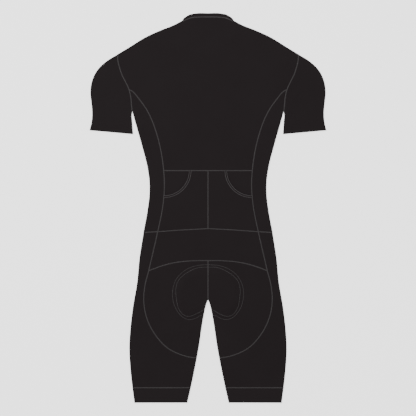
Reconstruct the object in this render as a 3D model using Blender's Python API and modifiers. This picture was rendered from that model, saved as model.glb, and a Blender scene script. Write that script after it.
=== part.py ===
"""Short-sleeved triathlon suit, laid flat on its front with its back up.

The neck points along +Y and the back of the suit faces +Z. The wearer's right
side is at +X. The origin is on the resting surface, under the middle of the suit.
Plan points are (across, along): the distance from the centre line, and the
distance along the body from mid length. Every panel is an open surface that runs
from seam to seam, and a Solidify modifier gives the knit its thickness. The back
lies on the front, and the cloth turns over the outer edges in a half round.
"""
import math

import bmesh
import bpy
import numpy as np

MM = 0.001

# Cloth and layers
WALL = 1.2 * MM
LAYER_GAP = 1.6 * MM
SEAM_GAP = 0.3 * MM
FRONT_LEVEL = WALL / 2
BACK_LEVEL = FRONT_LEVEL + WALL + LAYER_GAP
POCKET_LEVEL = BACK_LEVEL + WALL + SEAM_GAP
FOLD_LEVEL = (FRONT_LEVEL + BACK_LEVEL) / 2
FOLD_RADIUS = (BACK_LEVEL - FRONT_LEVEL) / 2
FOLD_REACH = FOLD_RADIUS + WALL / 2
# Turns of the cloth round an edge, in degrees, and where the two lips of a seam stop
BACK_TURN = 0
BACK_LIP_TURN = 78
FRONT_LIP_TURN = 102
FRONT_TURN = 180
TURN_STEP = 40

# Places along the body
POCKET_TOP = 99.0 * MM
WAIST_AT_CENTRE = -54.5 * MM
WAIST_AT_SIDE = -64.5 * MM
WAIST_AT_SIDE_BACK = -62.7 * MM
SEAT_CORNER = -166.0 * MM
CROTCH = -241.5 * MM
PAD_END = -284.0 * MM
INSEAM_CORNER = -396.5 * MM
BAND_SEAM = -476.4 * MM
HEM = -516.4 * MM
THIGH_AT_CROTCH = -290.0 * MM
THIGH_AT_INSEAM = -405.0 * MM

# Pocket mouths: quarter rounds about the corners of the pocket
MOUTH_CENTRE = 116.1 * MM
MOUTH_RADIUS = 65.7 * MM
BINDING_WIDTH = 5.6 * MM
BINDING_WALL = 1.8 * MM
PANEL_RADIUS = MOUTH_RADIUS + BINDING_WIDTH

# Seat pad
PAD_RISE = 5.0 * MM
PAD_SLOPE = 26.0 * MM
PAD_ROUNDING = 1.5
PAD_FOOT = FRONT_LEVEL + WALL / 2 + SEAM_GAP
PAD_INSET = 0.6 * MM

# Front zip
ZIP_HALF_OPENING = 4.0 * MM
ZIP_TOP = 430.0 * MM
ZIP_LEVEL = 1.5 * MM
SLIDER_SIZE = (7.0 * MM, 12.0 * MM, 2.3 * MM)
SLIDER_LEVEL = 1.3 * MM
PULL_SIZE = (5.0 * MM, 22.0 * MM, 0.6 * MM)

# Outlines and seams of the right half, each row one point: across, along (mm)
NECK_EDGE = ((0, 516.3), (29, 516.3), (43, 514.2), (52, 510.6))
NECK_FOLD = ((68.4, 496.2), (67.2, 498.8), (62.5, 504.4), (52, 510.6))
NECK_SEAM = ((0, 506.3), (26, 506.3), (44, 505.2), (58, 500.8), (68.4, 496.2))
FRONT_NECK_SEAM = ((4, 430), (22, 433), (43, 446), (60, 467), (67.4, 484), (68.4, 496.2))
FRONT_NECK_EDGE = ((4, 440), (18, 443), (36, 455), (50, 474), (55, 492), (52, 510.6))
SHOULDER = ((68.4, 496.2), (87.2, 486.1), (127.2, 470), (161.7, 454.3), (213.9, 422.5),
            (240.4, 406.6))
SLEEVE_TOP = ((240.4, 406.6), (266.6, 390.7), (285.4, 374.8), (299.5, 356), (308.5, 333),
              (311.9, 306), (309.3, 279.4), (307, 252), (308.5, 228), (313.8, 206))
ARMHOLE = ((239.4, 404.9), (239, 392), (235.1, 374.8), (228.2, 353.6), (217.6, 332.4),
           (209.4, 314), (204.2, 290), (202.5, 270), (200.8, 257.6))
SLEEVE_UNDER = ((201.1, 255.6), (202.3, 246), (201.4, 231.7), (198.8, 195.7))
TORSO_SIDE = ((200.2, 255.6), (193.7, 231.7), (175.7, 168.1), (159.8, 104.5), (155.4, 72),
              (154.9, 42), (160.3, -6.8), (171, -64.5))
HIP_SIDE = ((171, -64.5), (181.8, -134), (188, -197.6), (198.8, -261.2), (206.2, -324.8),
            (208.6, -364.5), (204.8, -436.1), (200.3, -476.4), (195, -516.4))
INNER_LEG = ((0.4, -243.4), (2.9, -249), (6.6, -261.2), (13, -293), (25.2, -372.5),
             (34.2, -420.2), (44, -467.9), (55.1, -516.4))
SIDE_BACK = ((209.4, 314), (201.9, 310.2), (183.6, 290), (166, 266), (150.5, 237),
             (138.6, 205.2), (123, 141.6), (117.4, 99), (115.5, 62.1), (120.6, -1.5),
             (133.2, -62.7), (157, -166))
SEAT_ROUND = ((157, -166), (167.5, -208.2), (170.2, -242.6), (166.2, -277.1),
              (155.3, -308.9), (136.2, -340.7), (104.7, -372.5), (73.4, -387.8),
              (41.1, -396), (29.2, -396.8))
SEAT_ARCH = ((0, -139.3), (41.1, -139.8), (88.8, -144.8), (120.6, -152.8), (157, -166))
WAIST_BACK = ((0, -54.5), (72.9, -58.4), (133.2, -62.7))
WAIST_FRONT = ((4, -54.5), (72.9, -58.4), (133.2, -62.7), (171, -64.5))
PAD_OUTLINE = ((0, -150), (30.5, -152.8), (57, -162.8), (76, -178), (87.5, -195.4),
               (94.1, -224.1), (90, -255), (76.1, -280.2), (64, -291), (50, -295.6),
               (33, -292), (19, -284))

# Spans into which each stretch of seam or edge is divided
NECK_SPANS = 4
NECK_FOLD_SPANS = 3
FRONT_NECK_SPANS = 5
SHOULDER_SPANS = 7
ARMHOLE_UPPER_SPANS = 5
ARMHOLE_LOWER_SPANS = 4
CORNER_SPANS = 2
SLEEVE_UNDER_SPANS = 3
SIDE_BACK_UPPER_SPANS = 10
MOUTH_SPANS = 8
SIDE_BACK_MOUTH_SPANS = 3
SIDE_BACK_LOWER_SPANS = 3
SIDE_BACK_HIP_SPANS = 4
ARCH_SPANS = 7
ROUND_SPANS = 17
PAD_CORNER_SPANS = 7
CENTRE_BACK_SPANS = 6
PAD_LEG_SPANS = 4
LOWER_LEG_SPANS = 3
RING_SPANS = 3
SHIN_SPANS = 4
BAND_SPANS = 2

# Colours
BODY_BLACK = (0.017, 0.014, 0.015)
TRIM_BLACK = (0.024, 0.021, 0.022)
PAD_BLACK = (0.030, 0.028, 0.029)
ZIP_BLACK = (0.020, 0.020, 0.021)

CURVE_STEPS = 24
MERGE_DISTANCE = 0.001 * MM
SHARPEST_MITRE = 0.5


def curve(table):
    """A closely spaced smooth line through the points of a table, in metres."""
    points = np.array(table) * MM
    spans = np.diff(points, axis=0)
    lengths = np.hypot(spans[:, 0], spans[:, 1])[:, None]
    slopes = spans / lengths
    inner = (slopes[:-1] * lengths[1:] + slopes[1:] * lengths[:-1]) / (lengths[:-1] + lengths[1:])
    tangents = np.vstack((slopes[:1], inner, slopes[-1:]))
    line = []
    for index, length in enumerate(lengths):
        for step in range(CURVE_STEPS):
            t = step / CURVE_STEPS
            line.append((2 * t ** 3 - 3 * t ** 2 + 1) * points[index]
                        + (3 * t ** 2 - 2 * t ** 3) * points[index + 1]
                        + (t ** 3 - 2 * t ** 2 + t) * length * tangents[index]
                        + (t ** 3 - t ** 2) * length * tangents[index + 1])
    line.append(points[-1])
    return np.array(line)


def stretch(line, spans, start=None, end=None):
    """Evenly spaced points of a line, between two places along the body."""
    steps = np.hypot(*np.diff(line, axis=0).T)
    length = np.concatenate(([0.0], np.cumsum(steps)))
    order = np.argsort(line[:, 1])
    places = line[order, 1]
    first = 0.0 if start is None else np.interp(start, places, length[order])
    last = length[-1] if end is None else np.interp(end, places, length[order])
    spots = np.linspace(first, last, spans + 1)
    return np.column_stack([np.interp(spots, length, line[:, axis]) for axis in (0, 1)])


def straight(start, end, spans):
    """Evenly spaced points from one plan point to another."""
    return np.linspace(start, end, spans + 1)


def joined(*lines):
    """One line made of several that follow each other end to start."""
    return np.vstack([lines[0]] + [line[1:] for line in lines[1:]])


def refit(line, start, end):
    """The same line, shifted gradually so that it starts and ends elsewhere."""
    share = np.linspace(0.0, 1.0, len(line))[:, None]
    return line + (1 - share) * (start - line[0]) + share * (end - line[-1])


def outward(line, side):
    """Plan directions out of the cloth along an edge that runs down the body."""
    run = np.gradient(line, axis=0)
    run = run / np.hypot(run[:, 0], run[:, 1])[:, None]
    return side * np.column_stack((-run[:, 1], run[:, 0]))


def patch(first, last, left, right):
    """Plan points inside four lines that meet at their ends."""
    rows = np.linspace(0.0, 1.0, len(left))[:, None, None]
    columns = np.linspace(0.0, 1.0, len(first))[None, :, None]
    across = (1 - columns) * left[:, None] + columns * right[:, None]
    down = (1 - rows) * first[None] + rows * last[None]
    corners = ((1 - rows) * (1 - columns) * first[0] + (1 - rows) * columns * first[-1]
               + rows * (1 - columns) * last[0] + rows * columns * last[-1])
    return across + down - corners


def ladder(left, right, spans):
    """Plan points of straight rungs between two lines."""
    return patch(straight(left[0], right[0], spans), straight(left[-1], right[-1], spans),
                 left, right)


def at_level(plan, level):
    """Plan points given a height, which is one number or one for each point."""
    height = np.broadcast_to(level, plan.shape[:-1])
    return np.concatenate((plan, height[..., None]), axis=-1)


def fold(line, away, first_turn, last_turn):
    """Cloth turned over an edge, from one angle to another: 0 is the back."""
    steps = round((last_turn - first_turn) / TURN_STEP)
    turns = np.radians(np.linspace(first_turn, last_turn, steps + 1))
    plan = line[:, None] + FOLD_RADIUS * np.sin(turns)[None, :, None] * away[:, None]
    return at_level(plan, FOLD_LEVEL + FOLD_RADIUS * np.cos(turns))


def inside(points, outline):
    """Distance of each plan point from the outline of a shape."""
    start = outline[:-1]
    span = outline[1:] - start
    offset = points[..., None, :] - start
    share = np.clip((offset * span).sum(-1) / (span * span).sum(-1), 0.0, 1.0)
    gap = offset - share[..., None] * span
    return np.sqrt((gap * gap).sum(-1)).min(-1)


def pad_rise(points):
    """Height by which the pad lifts the seat, rounding up from the pad's outline."""
    share = np.clip(inside(points, pad_outline) / PAD_SLOPE, 0.0, 1.0)
    return PAD_RISE * np.sin(share * math.pi / 2) ** PAD_ROUNDING


# Edges that fold: the outer line, and the line where the flat cloth starts to turn
shoulder_edge = stretch(curve(SHOULDER), SHOULDER_SPANS)
shoulder_away = outward(shoulder_edge, 1)
shoulder_line = shoulder_edge - FOLD_REACH * shoulder_away

armhole = curve(ARMHOLE)
side_back_start = SIDE_BACK[0][1] * MM
armhole_upper = stretch(armhole, ARMHOLE_UPPER_SPANS, end=side_back_start)
armhole_lower = stretch(armhole, ARMHOLE_LOWER_SPANS, start=side_back_start)
armhole_upper[0] = shoulder_line[-1]
armhole_line = joined(armhole_upper, armhole_lower)

sleeve_rows = len(armhole_line) - 1 - CORNER_SPANS + SLEEVE_UNDER_SPANS + 1
sleeve_edge = stretch(curve(SLEEVE_TOP), sleeve_rows)
sleeve_away = outward(sleeve_edge, 1)
sleeve_away[0] = shoulder_away[-1]
sleeve_line = sleeve_edge - FOLD_REACH * sleeve_away
under_edge = stretch(curve(SLEEVE_UNDER), SLEEVE_UNDER_SPANS)
under_away = outward(under_edge, -1)
under_line = under_edge - FOLD_REACH * under_away

side_back = curve(SIDE_BACK)
mouth_end = POCKET_TOP - PANEL_RADIUS
side_back_upper = stretch(side_back, SIDE_BACK_UPPER_SPANS, side_back_start, POCKET_TOP)
side_back_mouth = stretch(side_back, SIDE_BACK_MOUTH_SPANS, POCKET_TOP, mouth_end)
side_back_lower = stretch(side_back, SIDE_BACK_LOWER_SPANS, mouth_end, WAIST_AT_SIDE_BACK)
side_back_hip = stretch(side_back, SIDE_BACK_HIP_SPANS, WAIST_AT_SIDE_BACK, SEAT_CORNER)
side_back_torso = joined(side_back_upper, side_back_mouth, side_back_lower)

torso_rows = len(side_back_torso) - 1 - (ARMHOLE_LOWER_SPANS - CORNER_SPANS) - 1
torso_edge = stretch(curve(TORSO_SIDE), torso_rows)
torso_away = outward(torso_edge, 1)
torso_line = torso_edge - FOLD_REACH * torso_away

seat_round = stretch(curve(SEAT_ROUND), ROUND_SPANS)
seat_arch = stretch(curve(SEAT_ARCH), ARCH_SPANS)
waist_back = refit(stretch(curve(WAIST_BACK), ARCH_SPANS), np.array((0.0, WAIST_AT_CENTRE)),
                   side_back_lower[-1])

# The inner leg: from the crotch past the pad's end and the seat seam to the hem
inner_leg = curve(INNER_LEG)
inner_spans = PAD_LEG_SPANS - 1 + LOWER_LEG_SPANS
leg_upper_edge = joined(stretch(inner_leg, PAD_LEG_SPANS - 1, end=PAD_END),
                        stretch(inner_leg, LOWER_LEG_SPANS, PAD_END, INSEAM_CORNER))
shin_edge = stretch(inner_leg, SHIN_SPANS, INSEAM_CORNER, BAND_SEAM)
band_inner_edge = stretch(inner_leg, BAND_SPANS, BAND_SEAM, HEM)
inner_edge = joined(leg_upper_edge, shin_edge, band_inner_edge)
inner_away = outward(inner_edge, -1)
inner_line = inner_edge - FOLD_REACH * inner_away
shin_start = inner_spans
band_start = inner_spans + SHIN_SPANS
crotch_point = np.array((0.0, CROTCH))
seat_round[-1] = inner_line[shin_start]

# The outer leg: one place for each row of the leg panel
hip_side = curve(HIP_SIDE)
seat_rows = ROUND_SPANS - inner_spans - 1
outer_edge = joined(
    stretch(hip_side, SIDE_BACK_HIP_SPANS, WAIST_AT_SIDE, SEAT_CORNER),
    stretch(hip_side, seat_rows, SEAT_CORNER, THIGH_AT_CROTCH),
    stretch(hip_side, inner_spans + 1, THIGH_AT_CROTCH, THIGH_AT_INSEAM),
    stretch(hip_side, SHIN_SPANS, THIGH_AT_INSEAM, BAND_SEAM),
    stretch(hip_side, BAND_SPANS, BAND_SEAM, HEM))
outer_away = outward(outer_edge, 1)
outer_line = outer_edge - FOLD_REACH * outer_away
band_row = len(outer_edge) - 1 - BAND_SPANS
outer_line[0] = torso_line[-1]
waist_front = refit(stretch(curve(WAIST_FRONT), FRONT_NECK_SPANS),
                    np.array((ZIP_HALF_OPENING, WAIST_AT_CENTRE)), torso_line[-1])

# The pad's outline ends on the fold line of the inner leg
pad_spans = ARCH_SPANS + ROUND_SPANS
pad_outline = stretch(curve(PAD_OUTLINE), pad_spans)
pad_outline[-1] = inner_line[PAD_LEG_SPANS - 1]
centre_back = straight(pad_outline[0], crotch_point, CENTRE_BACK_SPANS)
pad_inner = np.vstack((centre_back, inner_line[:PAD_LEG_SPANS]))


def add_grid(surface, grid, side):
    """Adds a grid of points to an open surface as quads, at +X or mirrored to -X."""
    rows = []
    for line in grid:
        rows.append([surface.verts.new((side * x, y, z)) for x, y, z in line])
    for upper, lower in zip(rows, rows[1:]):
        for corner in range(len(upper) - 1):
            surface.faces.new((upper[corner], lower[corner],
                               lower[corner + 1], upper[corner + 1]))


def open_seams(surface):
    """Draws every free edge back by half of a seam's gap, in the surface itself."""
    moves = {}
    for edge in surface.edges:
        if not edge.is_boundary:
            continue
        face = edge.link_faces[0]
        run = (edge.verts[1].co - edge.verts[0].co).normalized()
        inward = face.normal.cross(run)
        middle = (edge.verts[0].co + edge.verts[1].co) / 2
        if inward.dot(face.calc_center_median() - middle) < 0:
            inward.negate()
        for vert in edge.verts:
            moves.setdefault(vert, []).append(inward)
    for vert, (first, second) in moves.items():
        mitre = max(1 + first.dot(second), SHARPEST_MITRE)
        vert.co += (first + second) / mitre * SEAM_GAP / 2


def material(name, colour, roughness):
    """A plain cloth, foam or metal finish of one colour."""
    finish = bpy.data.materials.new(name)
    finish.use_nodes = True
    shader = finish.node_tree.nodes["Principled BSDF"]
    shader.inputs["Base Color"].default_value = (*colour, 1.0)
    shader.inputs["Roughness"].default_value = roughness
    return finish


def place(name, mesh, colour, roughness=0.8):
    """Puts a mesh in the suit's collection as one named object."""
    piece = bpy.data.objects.new(name, mesh)
    piece.data.materials.append(material(name, colour, roughness))
    suit.objects.link(piece)
    return piece


def cloth(name, grids, sides, colour=BODY_BLACK, wall=WALL):
    """One panel: its grids are sewn to one open surface and given a thickness."""
    surface = bmesh.new()
    for side in sides:
        for grid in grids:
            add_grid(surface, grid, side)
    bmesh.ops.remove_doubles(surface, verts=surface.verts, dist=MERGE_DISTANCE)
    bmesh.ops.recalc_face_normals(surface, faces=surface.faces)
    surface.normal_update()
    open_seams(surface)
    mesh = bpy.data.meshes.new(name)
    surface.to_mesh(mesh)
    surface.free()
    piece = place(name, mesh, colour)
    shell = piece.modifiers.new("Knit", "SOLIDIFY")
    shell.thickness = wall
    shell.offset = 0.0
    shell.use_even_offset = True
    return piece


def each_side():
    """The two sides of the suit, by the wearer's own right and left."""
    return (("right", 1), ("left", -1))


def make_back_panel():
    """The upper back, from the neck and the shoulder folds down to the pocket."""
    edge = joined(shoulder_line, armhole_upper, side_back_upper)
    middle_top = np.array((0.0, NECK_SEAM[0][1] * MM))
    neck = refit(stretch(curve(NECK_SEAM), NECK_SPANS), middle_top, shoulder_line[0])
    centre = straight(middle_top, (0.0, POCKET_TOP), len(edge) - 1)
    bottom = straight(centre[-1], edge[-1], NECK_SPANS)
    sheet = at_level(patch(neck, bottom, centre, edge), BACK_LEVEL)
    turned = fold(shoulder_line, shoulder_away, BACK_TURN, BACK_LIP_TURN)
    cloth("back_panel", (sheet, turned), (1, -1))


def make_pocket():
    """The lower back, the pocket that lies on it and the two bound mouths."""
    edge = joined(side_back_mouth, side_back_lower)
    centre = straight((0.0, POCKET_TOP), waist_back[0], len(edge) - 1)
    top = straight(centre[0], edge[0], ARCH_SPANS)
    lower_back = at_level(patch(top, waist_back, centre, edge), BACK_LEVEL)
    cloth("lower_back_panel", (lower_back,), (1, -1))

    turns = np.linspace(0.0, math.pi / 2, MOUTH_SPANS + 1)
    ray = np.column_stack((-np.cos(turns), -np.sin(turns)))
    corner = np.array((MOUTH_CENTRE, POCKET_TOP))
    panel_edge = corner + PANEL_RADIUS * ray
    panel_edge[-1] = side_back_lower[0]
    edge = joined(panel_edge, side_back_lower)
    centre = straight((0.0, POCKET_TOP), waist_back[0], len(edge) - 1)
    top = straight(centre[0], edge[0], ARCH_SPANS)
    pocket = at_level(patch(top, waist_back, centre, edge), POCKET_LEVEL)
    cloth("pocket_panel", (pocket,), (1, -1))

    binding_level = POCKET_LEVEL + (BINDING_WALL - WALL) / 2
    strip = at_level(ladder(corner + MOUTH_RADIUS * ray, panel_edge, 1), binding_level)
    for name, side in each_side():
        cloth(f"pocket_binding_{name}", (strip,), (side,), TRIM_BLACK, BINDING_WALL)


def make_side_panels():
    """The narrow panels beside the back, from the armhole down to the waist."""
    first = armhole_lower[:CORNER_SPANS + 1]
    edge = np.vstack((armhole_lower[CORNER_SPANS:], torso_line))
    last = straight(side_back_torso[-1], torso_line[-1], CORNER_SPANS)
    sheet = at_level(patch(first, last, side_back_torso, edge), BACK_LEVEL)
    turned = fold(torso_line, torso_away, BACK_TURN, BACK_LIP_TURN)
    for name, side in each_side():
        cloth(f"side_panel_{name}", (sheet, turned), (side,))


def make_front_panels():
    """The two fronts, from the neck to the waist, on either side of the zip."""
    edge = np.vstack((joined(shoulder_line, armhole_line), torso_line))
    neck = refit(stretch(curve(FRONT_NECK_SEAM), FRONT_NECK_SPANS),
                 np.array((ZIP_HALF_OPENING, ZIP_TOP)), shoulder_line[0])
    centre = straight(neck[0], waist_front[0], len(edge) - 1)
    sheet = at_level(patch(neck, waist_front, centre, edge), FRONT_LEVEL)
    shoulder = fold(shoulder_line, shoulder_away, FRONT_LIP_TURN, FRONT_TURN)
    turned = fold(torso_line, torso_away, FRONT_LIP_TURN, FRONT_TURN)
    for name, side in each_side():
        cloth(f"front_panel_{name}", (sheet, shoulder, turned), (side,))


def make_sleeves():
    """The two sleeves: flattened tubes with the seam under the arm."""
    first = armhole_line[CORNER_SPANS::-1]
    inner = np.vstack((armhole_line[CORNER_SPANS:], under_line))
    last = straight(under_line[-1], sleeve_line[-1], CORNER_SPANS)
    plan = patch(first, last, inner, sleeve_line)
    grids = (at_level(plan, BACK_LEVEL), at_level(plan, FRONT_LEVEL),
             fold(sleeve_line, sleeve_away, BACK_TURN, FRONT_TURN),
             fold(under_line, under_away, BACK_TURN, BACK_LIP_TURN),
             fold(under_line, under_away, FRONT_LIP_TURN, FRONT_TURN))
    for name, side in each_side():
        cloth(f"sleeve_{name}", grids, (side,))


def make_neck_band():
    """The band round the neck, turned to the front at both shoulders."""
    middle_top = np.array((0.0, NECK_SEAM[0][1] * MM))
    fold_edge = stretch(curve(NECK_FOLD), NECK_FOLD_SPANS)
    fold_away = outward(fold_edge, -1)
    fold_away[0] = shoulder_away[0]
    fold_line = fold_edge - FOLD_REACH * fold_away
    fold_line[0] = shoulder_line[0]
    corner = fold_line[0]
    tip = fold_line[-1]
    seam = refit(stretch(curve(NECK_SEAM), NECK_SPANS), middle_top, corner)
    edge = refit(stretch(curve(NECK_EDGE), NECK_SPANS), np.array(NECK_EDGE[0]) * MM, tip)
    front_seam = refit(stretch(curve(FRONT_NECK_SEAM), FRONT_NECK_SPANS),
                       np.array((ZIP_HALF_OPENING, ZIP_TOP)), corner)
    front_edge = refit(stretch(curve(FRONT_NECK_EDGE), FRONT_NECK_SPANS),
                       np.array(FRONT_NECK_EDGE[0]) * MM, tip)
    back = patch(straight(seam[0], edge[0], NECK_FOLD_SPANS), fold_line, seam, edge)
    front = patch(straight(front_seam[0], front_edge[0], NECK_FOLD_SPANS), fold_line,
                  front_seam, front_edge)
    turned = fold(fold_line, fold_away, BACK_TURN, FRONT_TURN)
    grids = (at_level(back, BACK_LEVEL), at_level(front, FRONT_LEVEL), turned)
    cloth("neck_band", grids, (1, -1), TRIM_BLACK)


def make_hip_yoke():
    """The panel across the hips, from the waist to the arch of the seat."""
    centre = straight(waist_back[0], seat_arch[0], SIDE_BACK_HIP_SPANS)
    sheet = at_level(patch(waist_back, seat_arch, centre, side_back_hip), BACK_LEVEL)
    cloth("hip_yoke", (sheet,), (1, -1))


def pad_plan():
    """Plan points over one half of the pad."""
    first = pad_outline[:PAD_CORNER_SPANS + 1]
    right = pad_outline[PAD_CORNER_SPANS:-PAD_CORNER_SPANS]
    last = pad_outline[:-PAD_CORNER_SPANS - 2:-1]
    return patch(first, last, pad_inner, right)


def make_seat():
    """The two seat panels, raised over the pad, and the pad that lies inside."""
    plan = pad_plan()
    raised = at_level(plan, BACK_LEVEL + pad_rise(plan))
    arch_and_round = joined(seat_arch, seat_round)
    first = straight(pad_outline[0], seat_arch[0], RING_SPANS)
    last = inner_line[PAD_LEG_SPANS - 1:shin_start + 1]
    ring = at_level(patch(first, last, pad_outline, arch_and_round), BACK_LEVEL)
    lip = slice(0, shin_start + 1)
    rise = np.zeros(shin_start + 1)
    rise[:PAD_LEG_SPANS] = pad_rise(inner_line[:PAD_LEG_SPANS])
    turned = fold(inner_line[lip], inner_away[lip], BACK_TURN, BACK_LIP_TURN)
    share = np.linspace(1.0, 0.0, turned.shape[1])
    turned[..., 2] += rise[:, None] * share
    for name, side in each_side():
        cloth(f"seat_panel_{name}", (raised, ring, turned), (side,))


def make_leg_panels():
    """The legs: from the seat seams round the outer fold to the whole front."""
    rows = slice(0, band_row + 1)
    shin = inner_line[shin_start:band_start + 1]
    back_inner = joined(side_back_hip, seat_round, shin)
    back = ladder(back_inner, outer_line[rows], CORNER_SPANS)
    waist_to_crotch = straight((0.0, WAIST_AT_CENTRE), crotch_point, SIDE_BACK_HIP_SPANS + seat_rows)
    front_inner = np.vstack((waist_to_crotch, inner_line[:band_start + 1]))
    front_first = refit(waist_front, front_inner[0], outer_line[0])
    front_last = straight(front_inner[-1], outer_line[band_row], FRONT_NECK_SPANS)
    front = patch(front_first, front_last, front_inner, outer_line[rows])
    shin_away = inner_away[shin_start:band_start + 1]
    leg_away = inner_away[:band_start + 1]
    grids = (at_level(back, BACK_LEVEL), at_level(front, FRONT_LEVEL),
             fold(outer_line[rows], outer_away[rows], BACK_TURN, FRONT_TURN),
             fold(shin, shin_away, BACK_TURN, BACK_LIP_TURN),
             fold(inner_line[:band_start + 1], leg_away, FRONT_LIP_TURN, FRONT_TURN))
    for name, side in each_side():
        cloth(f"leg_panel_{name}", grids, (side,))


def make_leg_bands():
    """The grip bands at the hems: flattened tubes with the seam inside the leg."""
    inner = inner_line[band_start:]
    away = inner_away[band_start:]
    outer = outer_line[band_row:]
    plan = ladder(inner, outer, CORNER_SPANS)
    grids = (at_level(plan, BACK_LEVEL), at_level(plan, FRONT_LEVEL),
             fold(outer, outer_away[band_row:], BACK_TURN, FRONT_TURN),
             fold(inner, away, BACK_TURN, BACK_LIP_TURN),
             fold(inner, away, FRONT_LIP_TURN, FRONT_TURN))
    for name, side in each_side():
        cloth(f"leg_band_{name}", grids, (side,), TRIM_BLACK)


def make_pad():
    """The pad: its plan is extruded, and its top follows the raised seat."""
    plan = pad_plan()
    surface = bmesh.new()
    for side in (1, -1):
        add_grid(surface, at_level(plan, PAD_FOOT), side)
    bmesh.ops.remove_doubles(surface, verts=surface.verts, dist=MERGE_DISTANCE)
    bmesh.ops.recalc_face_normals(surface, faces=surface.faces)
    surface.normal_update()
    for _ in range(round(2 * PAD_INSET / SEAM_GAP)):
        open_seams(surface)
    swept = bmesh.ops.extrude_face_region(surface, geom=surface.faces[:])
    seat_underside = BACK_LEVEL - WALL / 2 - SEAM_GAP
    for vert in swept["geom"]:
        if isinstance(vert, bmesh.types.BMVert):
            spot = np.array((abs(vert.co.x), vert.co.y))
            vert.co.z = seat_underside + pad_rise(spot)
    bmesh.ops.recalc_face_normals(surface, faces=surface.faces)
    mesh = bpy.data.meshes.new("seat_pad")
    surface.to_mesh(mesh)
    surface.free()
    place("seat_pad", mesh, PAD_BLACK)


def make_block(name, centre, size, colour, roughness, rounding):
    """A small rounded block, from a cube."""
    surface = bmesh.new()
    bmesh.ops.create_cube(surface, size=1.0)
    bmesh.ops.scale(surface, vec=size, verts=surface.verts)
    bmesh.ops.translate(surface, vec=centre, verts=surface.verts)
    mesh = bpy.data.meshes.new(name)
    surface.to_mesh(mesh)
    surface.free()
    piece = place(name, mesh, colour, roughness)
    if rounding:
        bevel = piece.modifiers.new("Rounding", "BEVEL")
        bevel.width = rounding
        bevel.segments = 2
    return piece


def make_zip():
    """The closed zip between the fronts, its slider at the neck and a tape pull."""
    slider_width, slider_length, slider_height = SLIDER_SIZE
    slider_centre = ZIP_TOP - slider_length / 2
    make_block("zip_slider", (0.0, slider_centre, SLIDER_LEVEL), SLIDER_SIZE,
               ZIP_BLACK, 0.4, 0.5 * MM)
    coil_top = ZIP_TOP - slider_length - SEAM_GAP
    coil_bottom = WAIST_AT_CENTRE + SEAM_GAP
    coil_size = (2 * ZIP_HALF_OPENING - 2 * SEAM_GAP, coil_top - coil_bottom, WALL)
    make_block("zip_coil", (0.0, (coil_top + coil_bottom) / 2, ZIP_LEVEL), coil_size,
               ZIP_BLACK, 0.6, 0.0)
    pull_width, pull_length, pull_wall = PULL_SIZE
    pull_centre = ZIP_TOP - slider_length - SEAM_GAP - pull_length / 2
    make_block("zip_pull", (0.0, pull_centre, pull_wall / 2), PULL_SIZE, TRIM_BLACK, 0.7, 0.0)


for leftover in list(bpy.data.objects):
    bpy.data.objects.remove(leftover)
suit = bpy.data.collections.new("triathlon_suit")
bpy.context.scene.collection.children.link(suit)

make_back_panel()
make_pocket()
make_side_panels()
make_front_panels()
make_sleeves()
make_neck_band()
make_hip_yoke()
make_seat()
make_leg_panels()
make_leg_bands()
make_pad()
make_zip()
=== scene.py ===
"""Finish of a short-sleeved triathlon suit that lies flat on a pale floor with its back up.

Plan points are (across, along): the distance from the centre line, and the distance
along the body from mid length. Each panel is a thin shell on the form of its solid.
Raised thread covers every seam, and one soft relief moves the whole back of the suit.
A path is a row of points with the direction off the cloth at each: x, y, z, nx, ny, nz.
A shape is a modelled form's points, its faces and the UV place of each face's corners.
"""
import math

import bmesh
import bpy
import numpy as np
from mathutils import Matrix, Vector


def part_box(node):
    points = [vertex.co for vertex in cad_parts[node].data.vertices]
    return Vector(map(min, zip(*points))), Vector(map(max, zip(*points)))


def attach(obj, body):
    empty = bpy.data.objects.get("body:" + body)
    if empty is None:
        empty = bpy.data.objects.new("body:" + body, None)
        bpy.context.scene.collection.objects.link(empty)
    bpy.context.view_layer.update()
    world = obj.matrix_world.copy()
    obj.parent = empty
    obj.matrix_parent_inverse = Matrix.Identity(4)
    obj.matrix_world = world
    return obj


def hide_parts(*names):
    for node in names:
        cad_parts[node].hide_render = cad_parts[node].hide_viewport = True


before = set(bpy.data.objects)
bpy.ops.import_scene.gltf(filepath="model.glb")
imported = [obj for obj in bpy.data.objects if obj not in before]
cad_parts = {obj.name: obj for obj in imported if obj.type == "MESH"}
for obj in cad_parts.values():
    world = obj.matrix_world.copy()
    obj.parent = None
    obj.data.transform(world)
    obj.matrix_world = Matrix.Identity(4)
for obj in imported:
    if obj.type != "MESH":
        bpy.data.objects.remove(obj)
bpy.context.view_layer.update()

MM = 0.001
# The wearer's own right and left
SIDES = (("right", 1), ("left", -1))

# Cloth and layers
WALL = 0.9 * MM
THREAD_ROOM = 0.25 * MM
SEAM_GAP = 0.3 * MM
CUT_ROUNDING = 0.25 * MM
BACK_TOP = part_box("hip_yoke")[1][2]
BACK_LEVEL = BACK_TOP - WALL / 2
FRONT_TOP = THREAD_ROOM + WALL
FRONT_LEVEL = FRONT_TOP - WALL / 2
FOLD_LEVEL = (FRONT_LEVEL + BACK_LEVEL) / 2
FOLD_RADIUS = (BACK_LEVEL - FRONT_LEVEL) / 2
OUTER_RADIUS = FOLD_RADIUS + WALL / 2
# Turns of the cloth over a fold, in degrees: all round, and up to either lip of a seam
ALL_ROUND = (0, 180)
BACK_LIP = (0, 78)
FRONT_LIP = (102, 180)
TURN_STEP = 20
SMOOTH_ANGLE = math.radians(38)
RIM_ANGLE = math.radians(60)

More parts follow.
